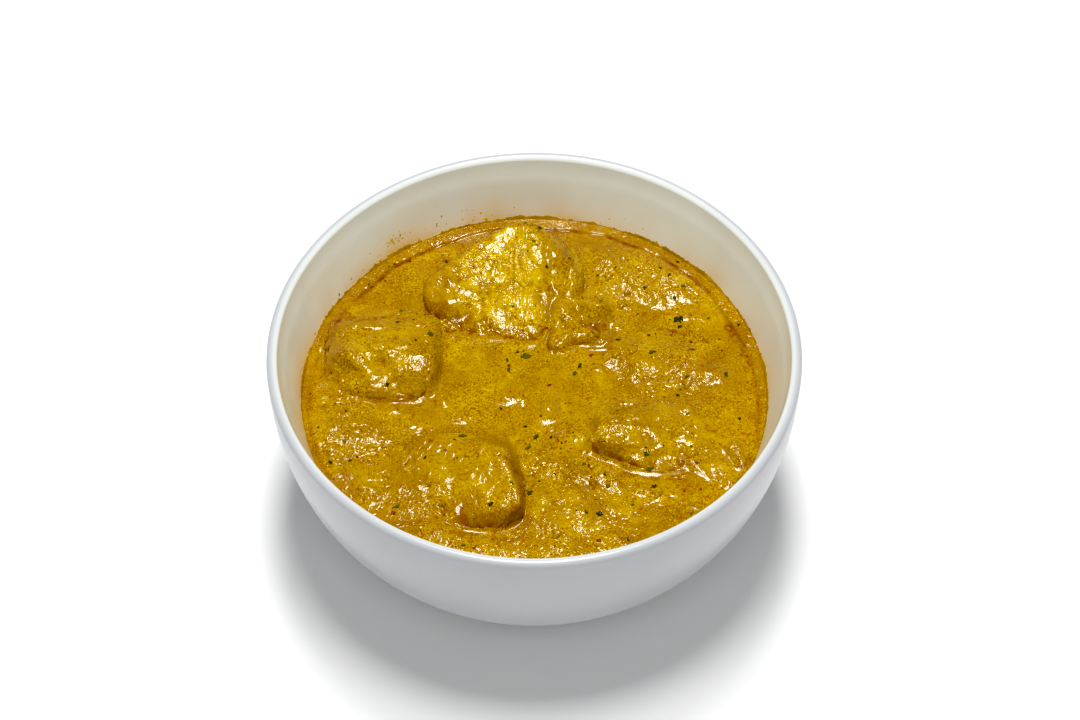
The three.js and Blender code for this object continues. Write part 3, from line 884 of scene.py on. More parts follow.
def food_shader(name, sauce, meat=None, coating=None, grains=1.0):
    """Wet sauce: three tones in soft patches, light and dark grains, ground spice as smudges and
    fine specks, and smoother oil where `oil` says. It darkens towards the deep colour where
    `shade` says, which holds painted shade and some random tone. With a meat colour, the meat
    shows where `bare` says, in streaks along its fibres. Small lumps where `busy` says break
    the gleam into glints."""
    shader = Shader(name, Roughness=0.13, IOR=1.39, Specular_Tint=(1.0, 0.9, 0.8, 1.0),
                    Specular_IOR_Level=0.5)
    body = coating or sauce.body
    colour = shader.mix(shader.span(shader.noise(15, 3), 0.3, 0.62, 0.35, 1), sauce.deep, body)
    colour = shader.mix(shader.span(shader.noise(5, 3), 0.45, 0.75, 0, 0.6), colour, sauce.pale)
    if meat is not None:
        bare = shader.attribute("bare")
        fibre = shader.attribute("fibre")
        flesh = shader.mix(shader.span(fibre, 0.35, 0.8), meat, body)
        colour = shader.mix(bare, colour, flesh)
    colour = shader.mix(shader.attribute("shade"), colour, sauce.deep)
    grain = shader.noise(0.5, 2, 0.7)
    grainy = shader.span(shader.noise(12, 2), 0.36, 0.6, 0.45 * grains, grains)
    grainy = shader.times(grainy, shader.span(shader.attribute("shade"), 0, 1, 1, 0.6))
    dark = shader.times(shader.span(grain, 0.52, 0.66, 0, 0.8), grainy)
    light = shader.times(shader.span(grain, 0.48, 0.33, 0, 0.7), grainy)
    colour = shader.mix(dark, colour, sauce.grain_dark)
    colour = shader.mix(light, colour, sauce.grain_light)
    smudges = shader.times(shader.span(shader.noise(1.3, 3, 0.6), 0.54, 0.68),
                           shader.span(shader.noise(8, 2), 0.42, 0.6, 0.25 * grains, 0.8 * grains))
    colour = shader.mix(smudges, colour, sauce.spice)
    for spacing, size, share, strength in SPECKS:
        strength = shader.times(grainy, strength)
        dots = shader.times(shader.dots(spacing, size, share), strength)
        colour = shader.mix(dots, colour, sauce.speck)
    colour = shader.mix(shader.attribute("oil"), colour, sauce.oil)
    shader.link(colour, "Base Color")
    shader.link(shader.span(shader.attribute("oil"), 0.3, 0.8, 0.12, 0.05), "Roughness")
    busy = shader.maths("POWER", shader.attribute("busy"), 1.4)
    lumps = shader.times(shader.noise(2.4, 1.5, 0.5, 1.4), busy)
    shader.link(shader.bump(grain, 0.014, shader.bump(lumps, 0.55)), "Normal")
    return shader.material


def make_sauce(sauce, chicken):
    """The curry's top is a height over a disc. Its skirt follows the bowl's inside down, a gap
    away from it, to a point over the middle of the floor."""
    unit_x, unit_y = disc_grid(SAUCE_CELLS)
    top, _ = ledge(np.arctan2(unit_y, unit_x))
    to_rim = ease(0.9, 1, np.hypot(unit_x, unit_y))
    radius = inside_radius(WATERLINE + top * to_rim) + SAUCE_ROOT
    x, y = radius * unit_x, radius * unit_y
    z = curry_height(sauce, chicken, x, y)
    border = grid_border(SAUCE_CELLS + 1, SAUCE_CELLS + 1)
    turn = np.arctan2(y[border], x[border])
    levels = SKIRT_LEVELS[:, None]
    skirt = turned_points(inside_radius(levels) - GAP, turn, levels)
    points = np.concatenate([np.stack([x, y, z], axis=-1), skirt, [(0, 0, SKIRT_TIP)]])
    rings = len(x) + np.arange(len(skirt)).reshape(len(SKIRT_LEVELS), -1)
    quads = [grid_quads(SAUCE_CELLS + 1, SAUCE_CELLS + 1)]
    quads += [belt(lower, upper) for lower, upper in zip(rings, [border, *rings])]
    bottom = fan(rings[-1], len(points) - 1)[:, ::-1]

    gap, covered = waterline_gap(x, y)
    past = past_foot(x, y)
    at = flat_points(x, y)
    on_ledge = ease(0.4, -0.4, past)
    ragged = ease(-0.3, 0.5, noise(at, 2.2, 23))
    oil = streaks(x, y, OIL_STREAKS)
    line = np.exp(-((gap - 0.4) / 0.5) ** 2) * (1 - covered)
    oil += 0.5 * ragged * line * ease(-0.3, 0.4, noise(at, 7, 26))
    back = ease(-0.2, 0.7, y / WALL_NOISE_RADIUS)
    at_foot = np.exp(-((past - 0.1) / 0.55) ** 2)
    oil += (0.4 + 0.6 * back) * (0.5 + 0.5 * ragged) * at_foot * ease(-0.5, 0.2, noise(at, 12, 24))
    # `shade` darkens towards the deep colour: a random tone, painted shade on the ledge and in the
    # crease along bare chicken, and the darker spots.
    shade = 0.4 * ease(0.1, 0.7, noise(at, 9, 25)) + 0.35 * on_ledge
    shade += 0.3 * np.exp(-np.abs(gap) / 1.4) * (1 - covered) + spots(x, y, DARKER)
    busy = np.maximum(stirred(x, y), 0.6 * on_ledge) * (1 - smoothness(x, y, gap, covered))
    hidden = np.zeros(len(points) - len(x))
    piece = mesh_object(
        "curry_sauce", points, np.concatenate(quads), bottom,
        oil=np.concatenate([np.clip(oil, 0, 0.95), hidden]),
        shade=np.concatenate([np.clip(shade, 0, 1), hidden]),
        busy=np.concatenate([busy, hidden]),
    )
    finish_piece(piece, food_shader("curry_sauce", sauce), ["curry"])


# ---- chicken, the surface

# How each piece's skin differs from its plain solid: small dents and swellings, and the way the
# fibres run. The meat shows on `bare` places and flat sides. Other places and flat sides are
# darkened in the same way with painted shade, where they turn away from the light, and the meat
# is torn along its fibres on `torn` places. Places are turn, tilt, strength and how narrow, and
# flat sides are number and strength
SKIN = {
    "chicken_back": {
        "dents": [(300, 62, -0.8, 60), (235, 55, 0.5, 40), (218, 40, -0.9, 60), (190, 40, 0.6, 60)],
        "fibres": (0.06, 0.93, 0.35),
        "bare": [(205, 34, 0.8, 60)],
        "bare_sides": [(0, 1.0)],
        "painted_shade": [(206, 12, 1.0, 50), (180, 20, 0.5, 20)],
        "painted_shade_sides": [(6, 0.7), (7, 0.5), (1, 0.4)],
        "torn": [(298, 30, 1.0, 30), (305, 58, 0.9, 30), (70, 74, 0.8, 16), (275, 26, 0.6, 60)],
    },
    "chicken_left": {
        "dents": [(275, 58, -0.8, 60), (300, 50, 0.6, 50), (205, 42, 0.6, 40), (180, 70, 0.5, 60),
                  (250, 40, 0.5, 50), (60, 70, -0.5, 40), (20, 60, 0.5, 60)],
        "fibres": (0.9, 0.3, -0.1),
        "bare": [(185, 25, 0.5, 60), (190, 62, 0.35, 9), (300, 55, 0.3, 12)],
        "bare_sides": [],
        "painted_shade": [(216, 40, 0.4, 60), (340, 12, 0.5, 8)],
        "painted_shade_sides": [(3, 0.4), (5, 0.2)],
        "torn": [],
    },
    "chicken_front": {
        "dents": [(40, 70, 0.4, 50), (200, 60, -0.5, 40), (300, 50, 0.5, 60), (250, 55, 0.5, 50)],
        "fibres": (0.5, 0.8, 0.1),
        "bare": [(70, 55, 0.4, 30)],
        "bare_sides": [],
        "painted_shade": [(330, 12, 0.6, 20), (262, 8, 1.2, 9)],
        "painted_shade_sides": [(2, 0.8), (3, 0.9), (4, 0.7), (5, 1.2), (6, 0.3), (10, 1.2)],
        "torn": [],
    },
    "chicken_right": {
        "dents": [(205, 45, 0.6, 50), (260, 50, -0.4, 50), (330, 45, 0.5, 40), (250, 70, 0.5, 60)],
        "fibres": (0.8, -0.5, -0.2),
        "bare": [(160, 32, 0.9, 60), (0, 30, 0.3, 30)],
        "bare_sides": [(1, 0.3)],
        "painted_shade": [(250, 14, 0.5, 12)],
        "painted_shade_sides": [(3, 0.7), (4, 0.9)],
        "torn": [],
    },
    "chicken_shred": {
        "dents": [(150, 60, 0.8, 40), (210, 55, -0.8, 50), (250, 45, 0.9, 50), (310, 40, 0.8, 50),
                  (20, 50, 0.8, 50), (90, 60, -0.6, 40)],
        "fibres": (0.4, 0.85, 0.1),
        "bare": [(180, 35, 0.5, 30), (215, 30, 0.6, 60)],
        "bare_sides": [],
        "painted_shade": [(340, 45, 0.9, 40), (225, 15, 0.8, 40)],
        "painted_shade_sides": [],
        "torn": [(180, 35, 0.8, 30), (215, 30, 0.6, 60)],
    },
}


def along_fibres(points, fibres, stretch):
    """The points with space pressed together along the fibres, which draws noise out."""
    axis = np.array(fibres) / np.linalg.norm(fibres)
    return points - np.outer(points @ axis, axis) * (1 - 1 / stretch)


def on_sides(piece, table, direction, reach):
    """How far each point lies on the listed flat sides: its distance towards the side over the
    side's own distance, eased from 0 at 0.92 to 1 at 0.98, times the side's strength."""
    total = np.zeros(len(direction))
    for number, strength in table:
        turn, tilt, distance = piece["faces"][number]
        share = (direction @ facing(turn, tilt)) * reach / distance
        total = np.maximum(total, strength * ease(0.92, 0.98, share))
    return total


def skin_relief(settings, skin, direction, points):
    """Relief of the skin in mm: dents, wrinkles of the coating, lumps, grain, and fibres where
    torn. Wrinkles are the folds where two noises cross: 1 - |noise|."""
    dents = lobes(direction, skin["dents"])
    folds = 1 - np.abs(noise(along_fibres(points, skin["fibres"], 1.6), 3.2, 31))
    lumps = noise(points, 7.0, 32) + 0.6 * noise(points, 3.6, 37)
    fine = noise(points, 1.7, 33) + 0.5 * noise(points, 0.95, 34)
    fibres = noise(along_fibres(points, skin["fibres"], 7), 1.25, 35)
    wrinkle, fibre = settings.wrinkle / MM, settings.fibre / MM
    torn = np.clip(lobes(direction, skin["torn"]), 0, 1)
    relief = dents + wrinkle * (folds - 0.6) + 1.3 * wrinkle * lumps
    return relief + 0.32 * wrinkle * fine + fibre * torn * fibres


def skin_reach(settings, name, direction):
    """Reach of the finished skin, and the shares of bare meat, fibre and painted shade on it."""
    piece, skin = CHICKEN[name], SKIN[name]
    reach = solid_reach(piece, direction)
    points = piece["centre"] + reach[:, None] * direction
    patchy = 1 + 0.5 * noise(points, 4.5, 36)
    bare = lobes(direction, skin["bare"]) + on_sides(piece, skin["bare_sides"], direction, reach)
    bare = np.clip(bare * patchy, 0, 1)
    relief = skin_relief(settings, skin, direction, points)
    torn = np.clip(0.15 + lobes(direction, skin["torn"]), 0, 1)
    streaks_of_meat = noise(along_fibres(points, skin["fibres"], 8), 0.9, 35)
    clots_of_sauce = noise(points, 3.0, 38) + 0.5 * noise(points, 1.4, 39)
    fibre = 0.5 + 0.5 * (torn * streaks_of_meat + (1 - torn) * clots_of_sauce)
    painted_shade = lobes(direction, skin["painted_shade"]) + on_sides(piece, skin["painted_shade_sides"], direction, reach)
    return reach + relief, bare, fibre, np.clip(painted_shade * patchy, 0, 1)


def skin_top(settings, name, x, y):
    """Height of a finished piece over each place, or minus infinity beside it. The skin's relief,
    which is measured along the ray from the centre, is turned upright."""
    piece = CHICKEN[name]
    top = solid_top(piece, x, y)
    there = np.flatnonzero(np.isfinite(top))
    ray = np.stack([x[there], y[there], top[there]], axis=-1) - piece["centre"]
    length = np.linalg.norm(ray, axis=1)
    relief = skin_reach(settings, name, ray / length[:, None])[0] - length
    top[there] += np.clip(relief * length / np.maximum(ray[:, 2], 1), -1.5, 1.5)
    return top


def make_chicken(settings, sauce):
    """Each piece is a skin round its centre, whose distance from it is a function of direction.
    Rows lie close together from the top down to 112 degrees, and the sunk rest is coarse."""
    material = food_shader("sauce_coated_chicken", sauce, settings.meat)
    columns, sunk_rows, close_rows = 400, 12, 122
    tilt = np.concatenate([np.linspace(-88, -24, sunk_rows), np.linspace(-22, 89.7, close_rows)])
    turn = np.linspace(0, 360, columns, endpoint=False)
    direction = facing(*np.meshgrid(turn, tilt)).reshape(-1, 3)
    direction = np.concatenate([direction, [(0, 0, -1), (0, 0, 1)]])
    quads, tips = turned_faces(len(tilt), columns)
    for name, piece in CHICKEN.items():
        reach, bare, fibre, painted_shade = skin_reach(settings, name, direction)
        points = piece["centre"] + reach[:, None] * direction
        above = points[:, 2] - WATERLINE
        lively = (1.0 + 0.6 * bare) * (1 - 0.6 * painted_shade)
        # Near the sauce the meat is hidden under wet sauce, and the foot gets a band of painted
        # shade.
        wet_shaded_foot = ease(2.5, 0.5, above)
        lumpy = np.maximum(stirred(*points[:, :2].T), ease(-0.3, 0.4, noise(points, 8, 42)))
        patches = ease(-0.2, 0.5, noise(points, 2.0, 41))
        # Oil along the foot, and some on the sides with painted shade, which it darkens further.
        oil = 0.5 * patches * np.exp(-((above - 1.0) / 0.9) ** 2) + 0.35 * patches * painted_shade
        skin = mesh_object(
            f"coated_{name}", points, quads, tips, bare=bare * (1 - wet_shaded_foot), fibre=fibre,
            # Painted shade: the sides turned from the light, and a band along the foot by the
            # sauce.
            shade=np.clip(painted_shade + 0.4 * wet_shaded_foot, 0, 1), oil=np.clip(oil, 0, 0.8),
            busy=lively * (0.35 + 0.65 * lumpy),
        )
        finish_piece(skin, material, [name])


# ---- small things on the food


def food_top(sauce, chicken, x, y):
    """Height of whatever lies on top at each place: the curry or a piece of chicken."""
    tops = [skin_top(chicken, name, x, y) for name in CHICKEN]
    return np.max([curry_height(sauce, chicken, x, y), *tops], axis=0)


def lens_template(rows, columns):
    """Places of a closed lens: two domes over the same leaf-shaped grid. Returns the position
    along (-1 to 1), across (-1 to 1) and the side (+1 upper, -1 lower), with quads."""
    along, across = np.meshgrid(np.linspace(-1, 1, rows), np.linspace(-1, 1, columns),
                                indexing="ij")
    upper = np.stack([along.ravel(), across.ravel(), np.ones(along.size)], axis=-1)
    lower = upper * (1, 1, -1)
    top = grid_quads(rows, columns)
    rim = grid_border(rows, columns)
    quads = [top[:, ::-1], top + along.size, belt(rim, rim + along.size)]
    return np.concatenate([upper, lower]), np.concatenate(quads)


def repeated(quads, count, size):
    """The same faces for each of `count` copies of `size` points."""
    return (quads[None] + size * np.arange(count)[:, None, None]).reshape(-1, quads.shape[1])


FLAKE_SHARE = (0.88, 0.9)  # a flake's length and width before its edge is made ragged
FLAKE_TIP = 0.985  # how nearly its tips close to a point
FLAKE_LIFT = 0.10


def scattered_flakes(name, table, height_at, bluntness, thickness, seed):
    """Flakes that lie on the food. Each is a lens whose half width is
    width * (1 - |along|^bluntness)^(1/bluntness), with a ragged edge, curled across."""
    draw = np.random.default_rng(seed)
    grid, quads = lens_template(9, 5)
    at_x, at_y, length, width, turn = (column[:, None] for column in np.array(table).T)
    count = len(table)
    along, across, side = grid.T
    ragged = 1 + 0.42 * draw.normal(size=(count, len(grid) // 2))
    ragged = np.concatenate([ragged, ragged], axis=1).clip(0.3, 1.6)
    taper = 1 + draw.uniform(-0.75, 0.75, size=(count, 1)) * along
    half = taper * (1 - np.abs(along * FLAKE_TIP) ** bluntness) ** (1 / bluntness)
    bend = draw.normal(size=(count, 1)) * 0.25
    length, width = FLAKE_SHARE[0] * length, FLAKE_SHARE[1] * width
    u = length / 2 * along * (0.9 + 0.1 * ragged)
    v = width / 2 * (across * half * ragged + bend * (along**2 - 0.4))
    angle = np.radians(turn)
    x = at_x + u * np.cos(angle) - v * np.sin(angle)
    y = at_y + u * np.sin(angle) + v * np.cos(angle)
    curl = draw.uniform(0.0, 0.22, size=(count, 1)) * length / 2 * across**2
    tip = draw.uniform(-0.05, 0.12, size=(count, 1)) * length * along**2
    lift = FLAKE_LIFT + thickness / 2 * side + curl * half + np.maximum(tip, 0)
    ground = height_at(x.ravel(), y.ravel()).reshape(x.shape)
    points = np.stack([x, y, ground + lift], axis=-1).reshape(-1, 3)
    tone = np.repeat(draw.uniform(size=count), len(grid))
    return mesh_object(name, points, repeated(quads, count, len(grid)), tone=tone)


# Herb flakes that stand out: place, length, width, turn
LARGE_HERBS = [
    (41.8, 27.4, 3.6, 2.3, 40), (-2.4, 13.1, 3.8, 1.8, 15), (-59.5, 12.5, 3.0, 1.5, 75),
    (-20.0, -19.5, 2.8, 1.3, 10), (34.0, 13.5, 2.6, 1.1, 20), (13.0, 9.5, 2.2, 1.2, 70),
    (18.1, -43.2, 2.4, 1.5, 0), (-30.0, 17.5, 2.0, 1.5, 20), (55.0, 6.0, 2.2, 1.0, 80),
    (-1.2, -36.0, 2.4, 1.3, 60), (-7.3, 7.9, 1.8, 1.1, 100), (11.6, 6.8, 1.9, 1.0, 60),
    (14.3, -42.9, 1.8, 1.1, 120), (0.5, -16.0, 2.4, 1.2, 50), (-1.8, -19.9, 2.3, 1.0, 30),
    (-39.6, 22.8, 1.6, 1.0, 10), (-41.8, 0.2, 1.8, 1.0, 40), (31.3, -24.2, 2.2, 1.0, 150),
    (32.3, -28.0, 2.6, 0.9, 15), (37.0, 45.1, 1.8, 0.9, 110), (39.6, 42.8, 1.6, 0.9, 60),
    (43.6, 38.9, 1.6, 0.8, 30), (41.1, 34.7, 1.7, 0.9, 120), (24.2, 18.7, 1.6, 0.8, 0),
    (-38.2, -40.8, 2.6, 1.0, 25), (-11.9, -43.5, 1.8, 0.9, 20), (4.7, -16.0, 1.5, 0.8, 80),
    (-2.6, -12.5, 1.3, 0.7, 0), (3.6, 40.8, 1.2, 0.9, 0), (-2.8, 54.5, 2.0, 0.9, 150),
    (1.6, 52.5, 1.3, 1.0, 0), (43.7, 5.0, 1.8, 0.8, 30), (40.9, -1.6, 1.5, 0.8, 140),
    (13.9, -25.6, 1.4, 0.9, 90), (-53.5, -17.8, 1.4, 0.8, 0), (-51.6, -24.2, 1.6, 0.6, 40),
    (-30.5, -26.3, 1.3, 0.8, 60), (-19.5, -54.0, 1.6, 0.9, 0), (45.3, 18.7, 1.3, 0.7, 45),
    (58.2, -9.6, 1.4, 0.7, 80), (45.5, -25.9, 1.6, 0.7, 0), (27.3, -39.8, 1.3, 0.7, 30),
]
# Chilli flakes that stand out, in the same way
LARGE_CHILLIES = [
    (15.8, -26.3, 2.0, 1.7, 30), (3.6, 22.8, 1.1, 0.9, 0), (4.2, 2.4, 1.2, 0.8, 40),
    (-7.3, 9.4, 1.1, 0.8, 0), (17.7, -52.3, 1.4, 1.1, 20), (-39.0, -42.9, 1.4, 1.0, 0),
]


def field_places(count, seed, margin):
    """Random places over the whole curry, at least `margin` mm from the wall."""
    draw = np.random.default_rng(seed)
    radius = (inside_radius(WATERLINE) - margin) * np.sqrt(draw.uniform(size=count))
    turn = draw.uniform(0, 2 * math.pi, size=count)
    return radius * np.cos(turn), radius * np.sin(turn), draw


def small_flakes(count, seed, lengths, widths):
    """A table of small flakes: place, length, width and turn, short ones more often."""
    x, y, draw = field_places(count, seed, 2.0)
    length = lengths[0] + (lengths[1] - lengths[0]) * draw.uniform(size=count) ** 2.2
    width = length * draw.uniform(*widths, size=count)
    return np.stack([x, y, length, width, draw.uniform(0, 180, size=count)], axis=-1)


def make_garnish(garnish, sauce, chicken):
    """Chopped herb and chilli flakes: the large ones where their tables say, small ones all
    over the food."""

    def height_at(x, y):
        return food_top(sauce, chicken, x, y)

    leaf = Shader("chopped_herb", Roughness=0.6, Specular_IOR_Level=0.05, Coat_Weight=0.1,
                  Coat_Roughness=0.05)
    tone = leaf.span(leaf.attribute("tone"), 0.2, 0.8)
    green = leaf.mix(tone, garnish.leaf_dark, garnish.leaf)
    veins = leaf.span(leaf.noise(0.5, 2), 0.4, 0.65, 0, 0.5)
    leaf.link(leaf.mix(veins, green, garnish.leaf_dark), "Base Color")
    leaf.link(leaf.bump(leaf.noise(0.4, 2), 0.05), "Normal")
    table = np.concatenate([LARGE_HERBS, small_flakes(garnish.herbs, 51, (0.7, 1.8), (0.3, 0.7))])
    herbs = scattered_flakes("herb_flakes", table, height_at, 1.4, 0.14, 52)
    finish_piece(herbs, leaf.material)

    skin = Shader("chilli_flake", Roughness=0.5, Specular_IOR_Level=0.1, Coat_Weight=0.3,
                  Coat_Roughness=0.05)
    patches = skin.span(skin.noise(0.6, 2), 0.35, 0.65)
    dark = tuple(0.35 * c for c in garnish.chilli)
    skin.link(skin.mix(patches, dark, garnish.chilli), "Base Color")
    table = np.concatenate(
        [LARGE_CHILLIES, small_flakes(garnish.chillies, 53, (0.5, 1.1), (0.5, 0.95))])
    flakes = scattered_flakes("chilli_flakes", table, height_at, 3.0, 0.16, 54)
    finish_piece(flakes, skin.material)


THIN_RIM = 0.02  # keeps the two domes of a crumb or drop apart at its rim


def drop_template(rows, rise, sink):
    """Places of a small closed drop: radius (0 to 1), angle round it, and height over its rim,
    which is rise * sqrt(1 - radius^2) above and -sink * sqrt(1 - radius^2) below. With quads."""
    grid, quads = lens_template(rows, rows)
    along, across, side = grid.T
    radius = np.maximum(np.abs(along), np.abs(across))
    dome = np.sqrt(np.maximum(THIN_RIM, 1 - radius**2)) * np.where(side > 0, rise, -sink)
    return radius, np.arctan2(across, along), dome, quads


def make_crumbs(sauce, chicken, count=170):
    """Crumbs of meat and onion under the curry's skin: low drops with lumpy outlines, half
    sunk, where the sauce is busy."""
    x, y, draw = field_places(count, 61, 2.5)
    keep = stirred(x, y) > draw.uniform(0.2, 0.75, size=count)
    x, y = x[keep][:, None], y[keep][:, None]
    size = (0.5 + 1.1 * draw.uniform(size=len(x)) ** 2)[:, None]
    radius, angle, dome, quads = drop_template(7, 0.62, 0.4)
    lumpy = 1 + 0.25 * np.sin(3 * angle + 6 * draw.uniform(size=x.shape))
    lumpy = lumpy + 0.15 * np.sin(5 * angle + 6 * draw.uniform(size=x.shape))
    x = x + size * radius * np.cos(angle) * lumpy
    y = y + size * radius * np.sin(angle) * lumpy
    ground = food_top(sauce, chicken, x.ravel(), y.ravel()).reshape(x.shape)
    points = np.stack([x, y, ground - 0.1 + size * dome], axis=-1).reshape(-1, 3)
    zero = np.zeros(len(points))
    shade = np.repeat(draw.uniform(0, 0.5, size=len(x)), len(radius))
    piece = mesh_object("crumbs_in_sauce", points, repeated(quads, len(x), len(radius)),
                        shade=shade, oil=zero, busy=zero + 0.3)
    finish_piece(piece, food_shader("sauce_on_crumbs", sauce))


# ---- sauce on the wall

WALL_COAT_OVERLAP = 0.5  # how far it goes down under the curry's edge
WALL_COAT_ROOT = 0.12  # how far its back goes into the wall


def make_wall_coat(sauce):
    """The band of sauce that dried on the wall above the curry. Its height round the wall is a
    sum of noises, and its thickness falls off towards its ragged upper edge as 1 - share^2."""
    columns, inner_rows = 1500, 12
    turn = np.linspace(0, 2 * math.pi, columns, endpoint=False)
    around = around_wall(turn)
    back = 0.5 + 0.5 * np.sin(turn)
    band = 0.7 + 0.5 * back + 0.7 * layered(around, 15, 2, 71)
    band += 0.4 * noise(around, 2.4, 73) + 0.35 * noise(around, 1.1, 74)
    band += 0.4 * np.abs(noise(around, 0.6, 79))
    band = np.maximum(band, 0.5)
    share = np.linspace(0, 1, inner_rows)[:, None]
    z = WATERLINE - WALL_COAT_OVERLAP + share * (band + WALL_COAT_OVERLAP)
    body = turned_points(WALL_NOISE_RADIUS, turn, z)
    bumps = noise(body, 1.5, 75) + 0.6 * noise(body, 0.8, 76)
    thick = (0.34 + 0.12 * bumps.reshape(z.shape)) * (1 - share**2) + 0.02
    inner = inside_radius(z) - thick
    outer_z = z[[-1, inner_rows // 2, 0]]
    outer = inside_radius(outer_z) + WALL_COAT_ROOT
    r, z = np.concatenate([inner, outer]), np.concatenate([z, outer_z])
    points = turned_points(r, turn, z)
    index = np.arange(r.size).reshape(r.shape)
    quads = [grid_quads(*r.shape, closed=True), belt(index[-1], index[0])]
    quads = np.concatenate(quads)[:, ::-1]
    oil = 0.12 * ease(0.2, 0.6, noise(points, 3.0, 77))
    piece = mesh_object("sauce_on_wall", points, quads, oil=oil,
                        shade=0.1 + 0.2 * noise(points, 4, 78), busy=np.full(len(points), 0.3))
    material = food_shader("dried_sauce", sauce, coating=sauce.crust, grains=0.35)
    finish_piece(piece, material)


# Where splashes land on the wall: middle and spread in degrees round it. The first patch is thick
SPLASH_PATCHES = [(127, 2.2), (110, 26)]
THICK_PATCH_HEIGHT = (5.5, 0.7)  # middle and spread above the waterline


def make_splashes(sauce, count=150):
    """Flat drops on the wall above the band: a thick patch, then more towards the back left,
    then some all round, most of them low down."""
    draw = np.random.default_rng(81)
    share = count // 3
    turns = [draw.normal(*patch, size=share) for patch in SPLASH_PATCHES]
    turns.append(draw.uniform(0, 360, size=count - 2 * share))
    turn = np.radians(np.concatenate(turns))[:, None]
    above = 1.6 + 6.0 * draw.uniform(size=count) ** 3
    above[:share] = draw.normal(*THICK_PATCH_HEIGHT, size=share)
    size = (0.1 + 0.32 * draw.uniform(size=count) ** 3)[:, None]
    radius, angle, dome, quads = drop_template(5, 0.22, 0.15)
    z = WATERLINE + above[:, None] + size * radius * np.sin(angle) * 1.2
    wall = inside_radius(z)
    points = turned_points(wall - size * dome, turn - size * radius * np.cos(angle) / wall, z)
    zero = np.zeros(len(points))
    piece = mesh_object("splashes_on_wall", points, repeated(quads, count, len(radius)),
                        shade=zero, oil=zero, busy=zero)
    material = food_shader("splashed_sauce", sauce, coating=sauce.splash, grains=0.05)
    finish_piece(piece, material)


# ---- stage


# Lights, in metres: name, place, width, the setting with their power, whether they gleam
LIGHTS = [
    ("wide_softbox", (0, -0.02, 1.3), 0.29, "softbox", True),
    ("key_overhead", (0, 0.25, 1.12), 0.25, "key", True),
    ("front_fill", (0, -0.75, 0.95), 0.6, "fill", False),
]
LIT_PLACE = (0, 0, 0.05)
FLOOR_HALF = 4000
FLOOR_COLOUR, FLOOR_GLOW = (0.88, 0.88, 0.88, 1), 0.05
BLACK_LEVEL = (0.008, 0.008, 0.01)
CONTRAST = [(0.12, 0.105), (0.3, 0.3), (0.6, 0.63)]  # points of the tone curve
CAMERA_TARGET = (1.59, -5.07)  # the place level with the rim that the camera looks at


def area_light(name, at, size, power, gleams):
    """A round light that faces the food, seen in the food's gloss only if it gleams."""
    lamp = bpy.data.lights.new(name, "AREA")
    lamp.shape = "DISK"
    lamp.size = size
    lamp.energy = power
    light = bpy.data.objects.new(name, lamp)
    light.location = at
    light.visible_glossy = gleams
    towards = Vector(LIT_PLACE) - Vector(at)
    light.rotation_euler = towards.to_track_quat("-Z", "Y").to_euler()
    bpy.context.scene.collection.objects.link(light)


def make_floor():
    """A flat white sheet that the bowl stands on."""
    corners = FLOOR_HALF * np.array([(-1, -1, 0), (1, -1, 0), (1, 1, 0), (-1, 1, 0)])
    floor = mesh_object("pale_floor", corners, np.array([[0, 1, 2, 3]]))
    paper = Shader("white_paper", Roughness=0.9, Base_Color=FLOOR_COLOUR,
                   Emission_Color=(1, 1, 1, 1), Emission_Strength=FLOOR_GLOW)
    floor.data.materials.append(paper.material)


def make_camera(settings):
    """The camera looks down at the rim from the front."""
    data = bpy.data.cameras.new("camera")
    data.lens = settings.lens
    data.sensor_width = 36
    data.clip_end = 20
    camera = bpy.data.objects.new("camera", data)
    x, y = (MM * value for value in CAMERA_TARGET)
    back = settings.distance * math.cos(settings.elevation)
    up = settings.distance * math.sin(settings.elevation)
    camera.location = (x, y - back, BOWL_HEIGHT * MM + up)
    camera.rotation_euler = (math.pi / 2 - settings.elevation, 0, 0)
    bpy.context.scene.collection.objects.link(camera)
    bpy.context.scene.camera = camera


def make_stage(settings):
    """Floor, soft light all round, three lights, camera, and a mild contrast curve."""
    make_floor()
    scene = bpy.context.scene
    world = bpy.data.worlds.new("soft_white_room")
    world.use_nodes = True
    background = world.node_tree.nodes["Background"]
    background.inputs["Color"].default_value = (1, 1, 1, 1)
    background.inputs["Strength"].default_value = settings.sky
    scene.world = world
    for name, at, size, power, gleams in LIGHTS:
        area_light(name, at, size, getattr(settings, power), gleams)
    make_camera(settings)

    scene.view_settings.view_transform = "Standard"
    scene.view_settings.use_curve_mapping = True
    contrast = scene.view_settings.curve_mapping
    contrast.black_level = BLACK_LEVEL
    for level in CONTRAST:
        contrast.curves[3].points.new(*level)
    contrast.update()


# ---- operators and panel


class PieceOperator(bpy.types.Operator):
    """Shared by the operators: `make` does the work with the scene's settings"""

    bl_options = {"REGISTER", "UNDO"}

    def execute(self, context):
        self.make(context.scene.curry_bowl)
        return {"FINISHED"}


class CURRY_OT_bowl(PieceOperator):
    """Add the white porcelain bowl"""

    bl_idname = "curry.bowl"
    bl_label = "Porcelain Bowl"

    def make(self, settings):
        make_bowl(settings.bowl)


class CURRY_OT_sauce(PieceOperator):
    """Add the curry sauce that fills the bowl"""

    bl_idname = "curry.sauce"
    bl_label = "Curry Sauce"

    def make(self, settings):
        make_sauce(settings.sauce, settings.chicken)


class CURRY_OT_chicken(PieceOperator):
    """Add the five pieces of chicken, coated in sauce"""

    bl_idname = "curry.chicken"
    bl_label = "Chicken"

    def make(self, settings):
        make_chicken(settings.chicken, settings.sauce)


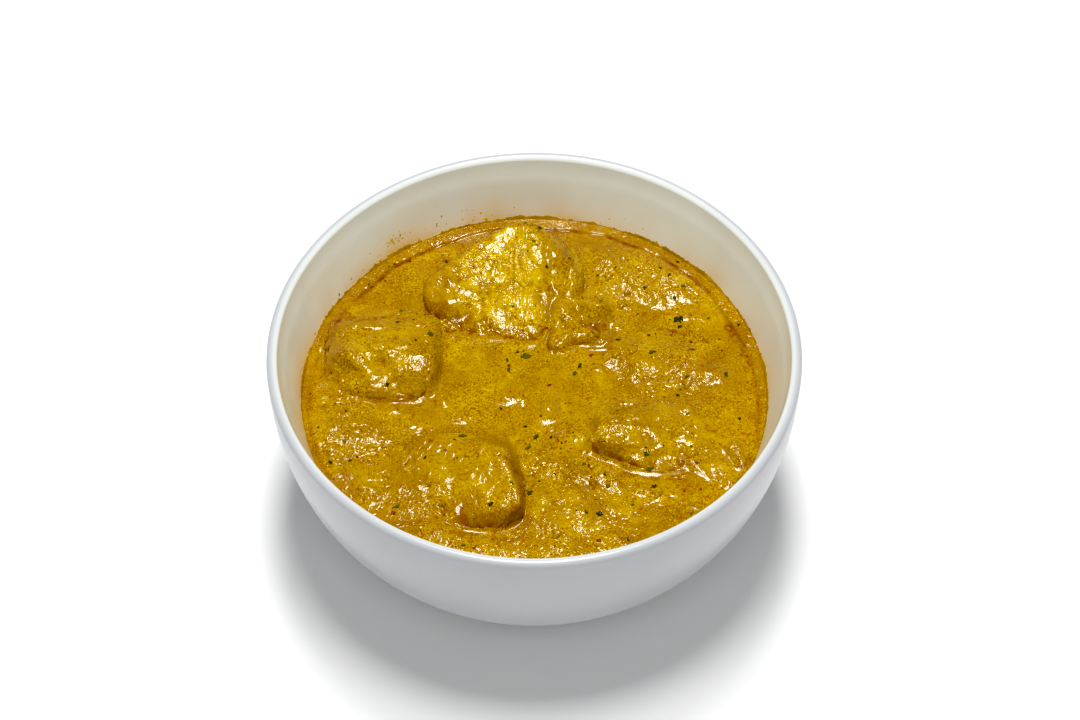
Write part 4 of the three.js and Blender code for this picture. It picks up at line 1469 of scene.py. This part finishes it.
class CURRY_OT_wall(PieceOperator):
    """Add the sauce that sticks to the wall, and its splashes"""

    bl_idname = "curry.wall"
    bl_label = "Sauce on the Wall"

    def make(self, settings):
        make_wall_coat(settings.sauce)
        make_splashes(settings.sauce)


class CURRY_OT_garnish(PieceOperator):
    """Scatter chopped herb and chilli flakes over the food"""

    bl_idname = "curry.garnish"
    bl_label = "Herbs and Chilli"

    def make(self, settings):
        make_garnish(settings.garnish, settings.sauce, settings.chicken)


class CURRY_OT_crumbs(PieceOperator):
    """Scatter crumbs of meat and onion in the sauce"""

    bl_idname = "curry.crumbs"
    bl_label = "Crumbs"

    def make(self, settings):
        make_crumbs(settings.sauce, settings.chicken)


class CURRY_OT_stage(PieceOperator):
    """Add the floor, the lights and the camera"""

    bl_idname = "curry.stage"
    bl_label = "Stage"

    def make(self, settings):
        make_stage(settings.stage)


OPERATORS = [CURRY_OT_bowl, CURRY_OT_sauce, CURRY_OT_chicken, CURRY_OT_wall, CURRY_OT_garnish,
             CURRY_OT_crumbs, CURRY_OT_stage]


class CURRY_PT_panel(bpy.types.Panel):
    bl_idname = "CURRY_PT_panel"
    bl_label = "Chicken Curry"
    bl_space_type = "VIEW_3D"
    bl_region_type = "UI"
    bl_category = "Curry"

    def draw(self, context):
        settings = context.scene.curry_bowl
        for operator in OPERATORS:
            self.layout.operator(operator.bl_idname)
        for name in ("bowl", "sauce", "chicken", "garnish", "stage"):
            box = self.layout.box()
            group = getattr(settings, name)
            for key in group.__annotations__:
                box.prop(group, key)


CLASSES = [BowlSettings, SauceSettings, ChickenSettings, GarnishSettings, StageSettings,
           CurryBowl, *OPERATORS, CURRY_PT_panel]


def register():
    for cls in CLASSES:
        bpy.utils.register_class(cls)
    bpy.types.Scene.curry_bowl = PointerProperty(type=CurryBowl)


def unregister():
    del bpy.types.Scene.curry_bowl
    for cls in reversed(CLASSES):
        bpy.utils.unregister_class(cls)


def main():
    register()
    for operator in OPERATORS:
        group, name = operator.bl_idname.split(".")
        getattr(getattr(bpy.ops, group), name)()


if __name__ == "__main__":
    main()
